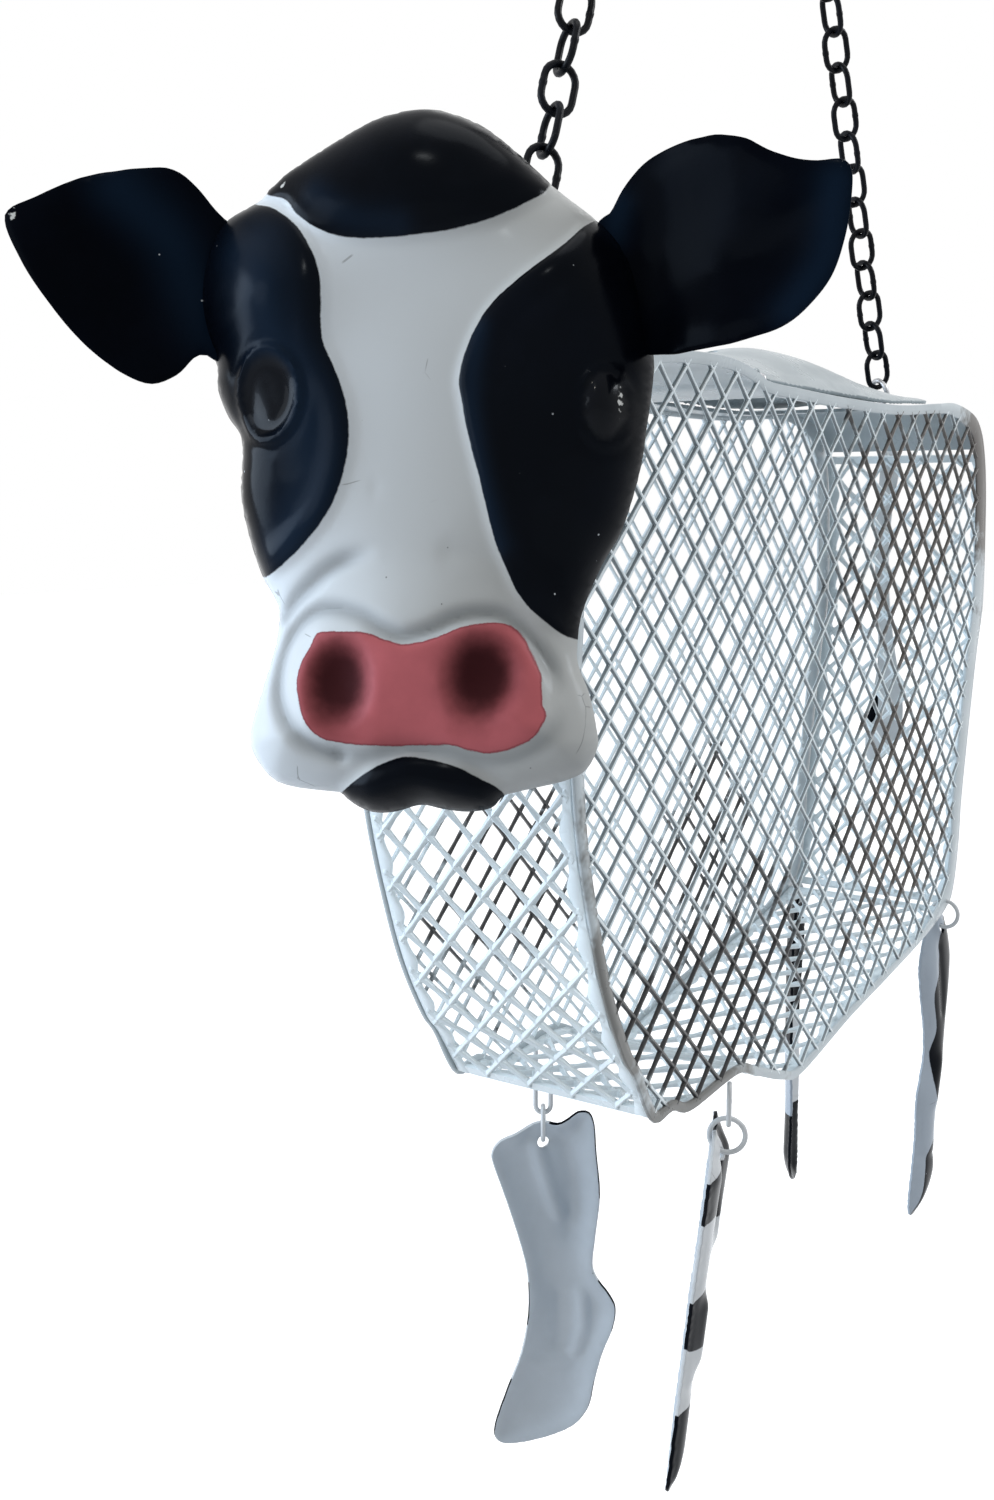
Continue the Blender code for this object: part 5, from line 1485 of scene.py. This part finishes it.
def strip(name, node, points, solid_share, low_end, high_end):
    """A bent strip of the body: its net with a solid band along each edge and at each end."""
    way = Way(points, SHEET / 2 + CLEAR)
    half = BODY_HALF - SHEET - CLEAR
    first = low_end
    last = way.length - high_end
    solid = first + (last - first) * solid_share
    rim = STRIP_RIM
    inner = half - STRIP_MARGIN
    low, high = first + STRIP_MARGIN, solid - STRIP_MARGIN
    ring = even_ring([(low, -inner), (high, -inner), (high, inner), (low, inner)], 3.0 * MM)
    parts = [net_mesh(name, ring, STRIP_LONG, STRIP_TALL, STRIP_START, way, STRIP_STRAND, UP, (1.0, 0.0),
                      STRIP_CUT_SHADE)]
    parts.append(band(name + "_edge_a", way, first, last, -half, -half + rim, 0.0, SCALLOP))
    parts.append(band(name + "_edge_b", way, first, last, half - rim, half, -SCALLOP, 0.0))
    parts.append(band(name + "_end_a", way, first, first + rim, -half, half))
    parts.append(band(name + "_end_b", way, min(solid, last - rim), last, -half, half))
    obj = join_as(name, parts)
    store(obj, "spray_and_shade", np.zeros(len(obj.data.vertices)))
    soften(obj, 45)
    show(obj, node, "feeder", "white_paint", NET_PAINT)


strip("chest_strip", "chest_net", SIDE_POINTS[BELLY_LAST:] + SIDE_POINTS[:1], CHEST_NET_SHARE,
      STRIP_END, STRIP_END)
strip("belly_strip", "belly_net", SIDE_POINTS[REAR_LAST:BELLY_LAST + 1], 1.0, BELLY_END, STRIP_END)
strip("rear_strip", "rear_net", SIDE_POINTS[TOP_LAST:REAR_LAST + 1], 1.0, STRIP_END, STRIP_END)


# Making the hook, ring, chains and eyes

def wire_along(name, points, radius, closed, swell=None):
    """Round wire along points: a curve with a bevel, turned into a mesh."""
    curve = bpy.data.curves.new(name, "CURVE")
    curve.dimensions = "3D"
    curve.bevel_depth = radius
    curve.bevel_resolution = 4
    curve.use_fill_caps = not closed
    line = curve.splines.new("POLY")
    line.points.add(len(points) - 1)
    for i, (slot, point) in enumerate(zip(line.points, points)):
        slot.co = (*point, 1.0)
        slot.radius = swell[i] if swell is not None else 1.0
    line.use_cyclic_u = closed
    obj = bpy.data.objects.new(name, curve)
    bpy.context.scene.collection.objects.link(obj)
    pick(obj)
    bpy.ops.object.convert(target="MESH")
    face_out(obj, 0.0)
    soften(obj, 60)
    return obj


def stadium(length, half, steps):
    """A long loop in the XY plane along X about the origin: its points, and a weld's swelling at each."""
    points = []
    for sign in (1, -1):
        for i in range(steps + 1):
            turn = math.pi * (i / steps - 0.5)
            run = length / 2 - half + half * math.cos(turn)
            points.append(Vector((sign * run, sign * half * math.sin(turn), 0.0)))
    weld = [Vector((x, half, 0.0)) for x in LINK_WELD_AT]
    points = points[:steps + 1] + weld + points[steps + 1:]
    swell = [1.0] * (steps + 1) + LINK_WELD_SWELL + [1.0] * (steps + 1)
    return points, swell


def frame_of(origin, first, second):
    """Matrix that puts X along first and Y along second."""
    first = first.normalized()
    third = first.cross(second).normalized()
    return matrix_of(first, third.cross(first), third, origin)


def make_hook():
    """The double hook: a wide bow, a straight shank and a small bow, with narrower tips."""
    points = []
    for radius, middle, start, end, steps in HOOK_BOWS:
        for i in range(steps + 1):
            turn = math.radians(start + (end - start) * i / steps)
            points.append(Vector((radius * math.cos(turn), 0.0, middle + radius * math.sin(turn))))
    swell = HOOK_TIPS + [1.0] * (len(points) - 2 * len(HOOK_TIPS)) + HOOK_TIPS[::-1]
    obj = wire_along("hook", points, HOOK_WIRE / 2, False, swell)
    show(obj, "hanging_hook", "hook", "bare_steel", BARE_STEEL)


def round_ring(name, centre, radius, wire_size, first, second, weld_at, steps=48):
    """Wire ring in the plane of two directions, a little thicker at its weld."""
    points = []
    swell = []
    for i in range(steps):
        turn = math.tau * i / steps
        points.append(centre + first * (radius * math.cos(turn)) + second * (radius * math.sin(turn)))
        away = abs((turn - weld_at + math.pi) % math.tau - math.pi) * radius
        swell.append(1.0 + RING_WELD_SWELL * math.exp(-(away / RING_WELD_HALF) ** 2))
    return wire_along(name, points, wire_size / 2, True, swell)


def chain(name, node, eye_centre, links):
    """Welded oval links, modelled once and copied, from the hanging ring to the eye. Returns the chain's
    direction and the direction across it in which the eye's ring lies."""
    hang = Vector((0.0, 0.0, HANG_Z))
    along = (eye_centre - hang).normalized()
    start = RING_RADIUS - (RING_WIRE + CHAIN_WIRE) / 2 - CLEAR
    end = (eye_centre - hang).length - EYE_RADIUS + (EYE_WIRE + CHAIN_WIRE) / 2 + CLEAR
    hold = CHAIN_WIRE - LINK_BITE
    length = (end - start + (links - 1) * hold) / links
    points, swell = stadium(length + 2 * LINK_LONGER, (LINK_WIDTH - CHAIN_WIRE) / 2, 10)
    blank = wire_along("link", points, LINK_WIRE / 2, True, swell)
    deep = along.cross(ALONG_X)
    made = []
    for i in range(links):
        turn = math.pi / 2 * (i % 2) + CHAIN_TWIST * min(i, TWISTED_LINKS)
        across = ALONG_X * math.cos(turn) + deep * math.sin(turn)
        link = blank.copy()
        link.data = blank.data.copy()
        bpy.context.scene.collection.objects.link(link)
        middle = hang + along * (start + i * (length - hold) + length / 2)
        link.data.transform(frame_of(middle, along, across * (1 if i % 4 < 2 else -1)))
        made.append(link)
    bpy.data.objects.remove(blank, do_unlink=True)
    obj = join_as(name, made)
    show(obj, node, "feeder", "black_paint", CHAIN_PAINT)
    return along, along.cross(across)


def eye_bolt(name, node, centre, foot, outward, along, tangent):
    """A chain's eye: a wire ring on a short shank, welded to a round foot with a bead of weld."""
    parts = [round_ring(name, centre, EYE_RADIUS, EYE_WIRE, tangent, along, -math.pi / 2)]
    weld = foot + outward * (0.5 * MM)
    for low, high, radius, sides in ((foot, foot + outward * EYE_FOOT_TALL, EYE_FOOT_RADIUS, 28),
                                     (weld, centre + along * EYE_RADIUS, EYE_SHANK_RADIUS, 16)):
        clear_selection()
        bpy.ops.mesh.primitive_cylinder_add(vertices=sides, radius=radius, depth=(high - low).length)
        part = bpy.context.object
        round_edges(part, EYE_FOOT_EDGE)
        apply_all(part)
        run = high - low
        part.data.transform(frame_of((low + high) / 2, run.orthogonal(), run.cross(run.orthogonal())))
        parts.append(part)
    parts.append(round_ring(name, foot + outward * EYE_FOOT_TALL, EYE_SHANK_RADIUS + EYE_BEAD_OUT,
                            EYE_BEAD_WIRE, ALONG_X, outward.cross(ALONG_X), 0.0, 20))
    obj = join_as(name, parts)
    soften(obj, 40)
    show(obj, node, "feeder", "bare_steel", BARE_STEEL)


def outward_of(first, second):
    """Direction out of the outline between two of its points."""
    run = (second - first).normalized()
    return Vector((0.0, -run.z, run.y))


make_hook()
hanging_loop = round_ring("hanging_loop", Vector((0.0, 0.0, HANG_Z)), RING_RADIUS, RING_WIRE, ALONG_Y, UP,
                          RING_WELD)
show(hanging_loop, "hanging_ring", "ring", "bare_steel", BARE_STEEL)
front_eye = at(*FRONT_EYE_AT)
rear_eye = at(*REAR_EYE_AT)
front_along, front_across = chain("front_links", "front_chain", front_eye, FRONT_LINKS)
rear_along, rear_across = chain("rear_links", "rear_chain", rear_eye, REAR_LINKS)
eye_bolt("front_eye", "front_chain_eye", front_eye, at(*FRONT_FOOT_AT),
         outward_of(SIDE_POINTS[-1], SIDE_POINTS[0]), front_along, front_across)
eye_bolt("rear_eye", "rear_chain_eye", rear_eye, at(*REAR_FOOT_AT),
         outward_of(SIDE_POINTS[10], SIDE_POINTS[11]), rear_along, rear_across)


# Making the legs and tail

def drawn_leg(table):
    """Closed ring from a table of down, middle and half width."""
    fine = smooth_line(table, 4, False)
    down, middle, half = fine.T
    right = np.stack([middle + half, -down], axis=1)
    left = np.stack([middle - half, -down], axis=1)
    return np.vstack([left, right[::-1]])


def hung(name, node, ring, matrix, bow, sheet, patches, relief_lines, inner):
    """A stamped piece that hangs by a hole: bowed edges, raised and sunk lines, painted patches."""
    ring = even_ring(ring, 1.1)
    spots, faces = filled_sheet(ring, HUNG_STEP, (0.0, -HOLE_DROP, LEG_HOLE / MM))
    far = np.maximum(-edge_distance(spots, ring), 0.0)
    height = -bow * (1 - np.minimum(far / HUNG_ROUNDING, 1.0)) ** 2
    if node in FLAT_AT_HOLE:
        height = height * ramp((np.hypot(spots[:, 0], spots[:, 1]) - FLAT_AT_HOLE[node]) / FLAT_FADE)
    for points, wide, rise in relief_lines:
        line = smooth_line(points, 5, False)
        height = height + rise * bead(line_distance(spots, line), 0.0, wide) * ramp(far / 3.0)
    height = calm(spots, faces, height, 2)
    near = np.full(len(spots), 9.0)
    for patch in patches:
        near = np.minimum(near, edge_distance(spots, even_ring(smooth_line(patch, 5, True), 0.8)))
    values = {"patch_edge": near, "chip_and_glint": np.zeros(len(spots))}
    obj = stamped(name, spots, faces, height, matrix, sheet, HUNG_EDGE, values)
    # the rear legs get a shaded copy of the white: painted shade
    outer = REAR_SHADED_PAINT if node.startswith("rear") else PATCH_PAINT
    show(obj, node, node, "white_paint", outer, inner)


def hang(name, node, bearing, turn, lean, side, ring, bow, sheet, patches, lines, inner, twist=0.0):
    """A wire ring at its bearing and a stamped piece in the ring."""
    plane = Vector((-math.sin(turn), math.cos(turn), 0.0))
    normal = Vector((math.cos(turn), math.sin(turn), 0.0))
    tilt = Matrix.Rotation(lean, 4, plane)
    reach = SMALL_WIRE + CLEAR - SMALL_RING
    loop = round_ring(name + "_loop", UP * reach, SMALL_RING, SMALL_WIRE, normal, UP, 0.7, 36)
    loop.data.transform(Matrix.Translation(bearing) @ tilt)
    show(loop, node + "_ring", node + "_ring", "white_paint", WHITE_PAINT)
    low = tilt @ (UP * (reach - SMALL_RING))
    swap = Matrix(((0.0, -side, 0.0), (1.0, 0.0, 0.0), (0.0, 0.0, 1.0))).to_4x4()
    matrix = Matrix.Translation(bearing + low) @ tilt @ Matrix.Rotation(turn + twist, 4, "Z") @ swap
    hung(name, node, ring, matrix, bow, sheet, patches, lines, inner)


def wire_eye(name, node, start, end, across):
    """Oval wire eye, welded under the edge."""
    points, swell = stadium((end - start).length, (LEG_EYE_WIDTH - SMALL_WIRE) / 2, 9)
    obj = wire_along(name, points, SMALL_WIRE / 2, True, swell)
    obj.data.transform(frame_of((start + end) / 2, end - start, across))
    show(obj, node, "feeder", "white_paint", WHITE_PAINT)


for name, node, side, turn, lean, bottom in (
        ("left_front_leg", "front_left_leg", 1, LEFT_TURN, LEFT_LEAN, LEFT_EYE_END),
        ("right_front_leg", "front_right_leg", -1, RIGHT_TURN, 0.0, RIGHT_EYE_END)):
    end = Vector((side * (BODY_HALF - SHEET / 2), FRONT_LEG_Y, bottom))
    start = Vector((end.x, end.y, EYE_START))
    wire_eye(name + "_eye", node + "_eye", start, end, Vector((-math.sin(turn), math.cos(turn), 0.0)))
    lines = [(FRONT_STRETCH * np.array(line), wide, rise) for line, wide, rise in FRONT_LINES]
    patches = [FRONT_STRETCH * np.array(patch) for patch in FRONT_PATCHES]
    ring = FRONT_STRETCH * smooth_line(FRONT_LEG, 4, True)
    if side > 0:
        ring[:, 1] = np.minimum(ring[:, 1], LOW_TOP + LOW_TOP_SHARE * (ring[:, 1] - LOW_TOP))
        patches.append(np.array(SHIN_PATCH))
    hang(name, node, end, turn, lean, side, ring, LEG_BOW, SHEET, patches, lines, LEG_INSIDE)
for name, node, side, twist in (("left_rear_leg", "rear_left_leg", 1, 0.0),
                                ("right_rear_leg", "rear_right_leg", -1, FAR_TWIST)):
    lip = Vector((side * (BODY_HALF - SHEET / 2), REAR_LEG_Y, REAR_LEG_Z))
    far_side = side < 0
    ring = drawn_leg([(down * (FAR_STRETCH if far_side else 1.0), (-1 if far_side else 1) * middle, half)
                      for down, middle, half in REAR_LEG])
    hang(name, node, lip, 0.0, 0.0, side, ring, LEG_BOW, SHEET, FAR_PATCHES if far_side else REAR_PATCHES,
         [] if far_side else REAR_LINES, PATCH_PAINT if far_side else LEG_INSIDE, twist)
tail_start = at(*TAIL_AT) + Vector((TAIL_X, 0.0, 0.0))
tail_end = tail_start + ALONG_Y * TAIL_OUT
wire_eye("tail_wire", "tail_eye", tail_start, tail_end, ALONG_X)
hang("tail_strip", "tail", tail_end, math.pi / 2, 0.0, -1, drawn_leg(TAIL), TAIL_BOW, TAIL_SHEET,
     TAIL_PATCHES, TAIL_LINES, PATCH_PAINT)


# Making the lid and back

def back_top(y):
    """Height of the back's upper face."""
    ys = [p.y for p in SIDE_POINTS[:TOP_LAST + 1]]
    return float(np.interp(y, ys, [p.z for p in SIDE_POINTS[:TOP_LAST + 1]])) - CLEAR


FLAT = Matrix(((1.0, 0.0, 0.0, 0.0), (0.0, 0.0, 1.0, 0.0), (0.0, -1.0, 0.0, 0.0), (0.0, 0.0, 0.0, 1.0)))


def make_lid():
    """The arched lid with its two barrels, and the hinge's wire."""
    front = at(LID_FRONT, 0.0).y
    rear = at(LID_REAR, 0.0).y
    axis = Vector((0.0, front, back_top(front) + HINGE_HEIGHT))
    barrel_radius = HINGE_WIRE / 2 + CLEAR + BARREL_WALL / 2
    half = LID_HALF / MM
    a, b = (front + barrel_radius) / MM, rear / MM
    cut, nip = LID_CORNER, LID_CORNER_IN
    ring = even_ring([(-half, a), (half, a), (half, b - cut), (half - nip, b - nip), (half - cut, b),
                      (cut - half, b), (nip - half, b - nip), (-half, b - cut)], 1.4)
    spots, faces = filled_sheet(ring, LID_STEP, (0.0, a + (b - a) * LID_HOLE_SHARE, LID_HOLE))
    share = (spots[:, 1] - a) / (b - a)
    crowns = smooth_line(LID_CROWNS, 5, False)
    crown = np.interp(share, crowns[:, 0], crowns[:, 1])
    base = np.array([back_top(y * MM) / MM for y in spots[:, 1]])
    far = -edge_distance(spots, ring)
    # arched, with a pressed bead along the edge and the edge itself turned down
    height = base + LID_SIDE_HEIGHT + crown * (1 - (spots[:, 0] / half) ** 2)
    height = height + 0.45 * bead(far, 2.6, 0.9) - 0.35 * bead(far, 0.0, 1.0)
    parts = [stamped("lid_sheet", spots, faces, calm(spots, faces, height, 2), FLAT, SHEET, HUNG_EDGE,
                     {"spray_and_shade": np.zeros(len(spots))})]
    for sign in (1, -1):
        points = []
        for i in range(BARREL_SIDES):
            turn = math.radians(BARREL_START + BARREL_TURN * i / (BARREL_SIDES - 1))
            points.append((barrel_radius * math.sin(turn), barrel_radius * math.cos(turn)))
        verts = []
        for x in (BARREL_FROM, BARREL_TO):
            verts.extend(axis + Vector((sign * x, y, z)) for y, z in points)
        count = len(points)
        barrel = piece("barrel", verts, [(i, i + 1, count + i + 1, count + i) for i in range(count - 1)])
        thicken(barrel, BARREL_WALL, 0.0)
        round_edges(barrel, 0.15 * MM)
        apply_all(barrel)
        face_out(barrel, 0.0)
        parts.append(barrel)
    obj = join_as("lid_sheet", parts)
    soften(obj, SHEET_ANGLE)
    show(obj, "lid", "lid", "white_paint", SHEET_PAINT)
    # the hinge's wire, bent down at both ends to its welds on the back
    line = []
    for sign in (-1, 1):
        bend = [Vector((sign * (HINGE_HALF - inward), axis.y, axis.z - down)) for inward, down in
                ((0.0, HINGE_HEIGHT - CLEAR * 3), (0.0, 0.9 * MM), (0.25 * MM, 0.25 * MM), (0.9 * MM, 0.0))]
        line.extend(bend if sign < 0 else bend[::-1])
    pin = wire_along("hinge_pin", line, HINGE_WIRE / 2, False)
    show(pin, "lid_hinge_wire", "feeder", "bare_steel", BARE_STEEL)


def make_back():
    """Top sheet between the sides, with the filler opening and its raised lip."""
    way = Way(SIDE_POINTS[:TOP_LAST + 1], SHEET / 2 + CLEAR)
    half = (BODY_HALF - SHEET - CLEAR) / MM
    fine = np.linspace(0.0, way.length, 400)
    ys = np.interp(fine, way.marks, way.line[:, 0])
    runs = [float(np.interp(at(share, 0.0).y, ys, fine)) / MM for share in FILLER]
    wide = (LID_HALF - FILLER_INSET) / MM
    opening = even_ring([(runs[0], -wide), (runs[1], -wide), (runs[1], wide), (runs[0], wide)], 1.5)
    last = (way.length - STRIP_END) / MM
    ring = even_ring([(0.0, -half), (last, -half), (last, half), (0.0, half)], 1.5)
    spots, faces = filled_sheet(ring, BACK_STEP)
    gap = edge_distance(spots, opening)
    middles = np.array([spots[list(f)].mean(axis=0) for f in faces])
    faces = [f for f, away in zip(faces, edge_distance(middles, opening)) if away > 0]
    rises = LIP_RISE * (1 - ramp(gap / LIP_WIDTH))
    verts = []
    for spot, rise in zip(spots, rises):
        point, out = way((spot[0] * MM, spot[1] * MM))
        verts.append(point + out * (0.5 * SHEET - (LIP_RISE - rise) * LIP_SHARE))
    obj = piece("back_top_sheet", verts, faces)
    work = bmesh.new()
    work.from_mesh(obj.data)
    bmesh.ops.delete(work, geom=[v for v in work.verts if not v.link_faces], context="VERTS")
    bmesh.ops.recalc_face_normals(work, faces=work.faces)
    if sum(f.normal.z * f.calc_area() for f in work.faces) < 0:
        bmesh.ops.reverse_faces(work, faces=work.faces)
    work.to_mesh(obj.data)
    work.free()
    thicken(obj, SHEET)
    apply_all(obj)
    store(obj, "spray_and_shade", np.zeros(len(obj.data.vertices)))
    soften(obj, SHEET_ANGLE)
    show(obj, "back_sheet", "feeder", "white_paint", SHEET_PAINT)


make_lid()
make_back()


# Making what carries the head

def make_crossbar():
    """Flat bar with rounded ends, a stiffening bead and two weld dimples."""
    half, tall = BAR_HALF / MM, BAR_TALL / MM / 2
    cut, nip = BAR_CORNER, BAR_CORNER_IN
    corner = [(half - cut, -tall), (half - nip, nip - tall), (half, cut - tall),
              (half, tall - cut), (half - nip, tall - nip), (half - cut, tall)]
    outline = corner + [(-x, z) for x, z in reversed(corner)]
    ring = even_ring(outline, 1.0) + np.array([0.0, BAR_AT / MM])
    spots, faces = filled_sheet(ring, BAR_STEP)
    end = half - BAR_BEAD_SHORT
    middle = np.array([(-end, BAR_AT / MM), (end, BAR_AT / MM)])
    height = -0.55 * bead(line_distance(spots, middle), 0.0, 1.8)
    for sign in (1, -1):
        weld = np.hypot(spots[:, 0] - sign * (half - BAR_WELD_IN), spots[:, 1] - BAR_AT / MM)
        height = height + 0.5 * bead(weld, 0.0, 1.6)
    offset = (CLEAR + HEAD_SHEET / 2) / MM
    obj = stamped("head_bar", spots, faces, height - offset, HEAD, BAR_THICK, BAR_EDGE)
    show(obj, "head_crossbar", "feeder", "bare_steel", BARE_STEEL)


make_crossbar()

# The neck tube is a plain round tube, so the solid's own mesh is shown
neck_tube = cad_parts["neck_tube"]
neck_tube.data.materials.clear()
neck_tube.data.materials.append(BARE_STEEL)
soften(neck_tube, 40)


# Floor, light and camera

FLOOR_Z = -0.80
FLOOR_SIZE = 12.0
FLOOR_GREY = (0.55, 0.55, 0.56, 1.0)
FLOOR_GLOW = 0.92
SKY = (0.67, 0.71, 0.74)
SKY_LIGHT = 0.58
BACKDROP = (1.0, 1.0, 1.0)
LAMP_AIM = Vector((0.0, 0.0, -0.38))
# Name, place, size, watts and colour
LAMPS = (
    ("key", (-0.55, -1.30, 0.05), 0.7, 3.2, (0.90, 0.95, 1.0)),
    ("left", (-1.22, -0.88, -0.05), 1.0, 18.0, (0.72, 0.85, 1.0)),
    ("window", (0.31, -0.83, 0.57), 0.08, 1.2, (1.0, 0.92, 0.80)),
    ("side", (0.90, 0.75, 0.35), 0.5, 8.0, (0.96, 0.98, 1.0)),
    ("top", (0.1, 0.1, 0.9), 0.8, 3.0, (1.0, 1.0, 1.0)))


def sight(tree):
    """1 for the rays that see the backdrop: the camera's, those off gloss and those through glass."""
    path = add(tree, "ShaderNodeLightPath")
    seen = maths(tree, "MAXIMUM", path.outputs["Is Camera Ray"], path.outputs["Is Glossy Ray"])
    return maths(tree, "MAXIMUM", seen, path.outputs["Is Transmission Ray"])


def stage():
    """White backdrop and floor, soft lamps, and the photograph's camera."""
    clear_selection()
    bpy.ops.mesh.primitive_plane_add(size=FLOOR_SIZE, location=(0.0, 0.0, FLOOR_Z))
    floor = bpy.context.object
    floor.name = "floor"
    settle(floor)
    mat = bpy.data.materials.new("pale_floor")
    mat.use_nodes = True
    tree = mat.node_tree
    shader = tree.nodes["Principled BSDF"]
    shader.inputs["Base Color"].default_value = FLOOR_GREY
    shader.inputs["Roughness"].default_value = 0.9
    shader.inputs["Emission Color"].default_value = (*BACKDROP, 1.0)
    wire(tree, maths(tree, "MULTIPLY", sight(tree), FLOOR_GLOW), shader.inputs["Emission Strength"])
    floor.data.materials.append(mat)

    world = bpy.data.worlds.new("studio")
    bpy.context.scene.world = world
    world.use_nodes = True
    tree = world.node_tree
    sky = tree.nodes["Background"]
    seen = sight(tree)
    wire(tree, mixed(tree, seen, SKY, BACKDROP), sky.inputs["Color"])
    wire(tree, maths(tree, "MAXIMUM", SKY_LIGHT, seen), sky.inputs["Strength"])

    for name, place, size, watts, colour in LAMPS:
        clear_selection()
        bpy.ops.object.light_add(type="AREA", location=place)
        lamp = bpy.context.object
        lamp.name = name + "_light"
        lamp.data.shape = "DISK"
        lamp.data.size = size
        lamp.data.energy = watts
        lamp.data.color = colour
        lamp.rotation_euler = (LAMP_AIM - Vector(place)).to_track_quat("-Z", "Y").to_euler()

    clear_selection()
    bpy.ops.object.camera_add(location=CAMERA_AT, rotation=(math.pi / 2 - CAMERA_DIP, 0.0, CAMERA_TURN))
    camera = bpy.context.object
    camera.data.sensor_fit = "VERTICAL"
    camera.data.angle = 2 * math.atan(PICTURE_TALL / 2 / PICTURE_FOCAL)
    camera.data.clip_start = 0.01
    bpy.context.scene.camera = camera
    bpy.context.scene.view_settings.view_transform = "Standard"


stage()
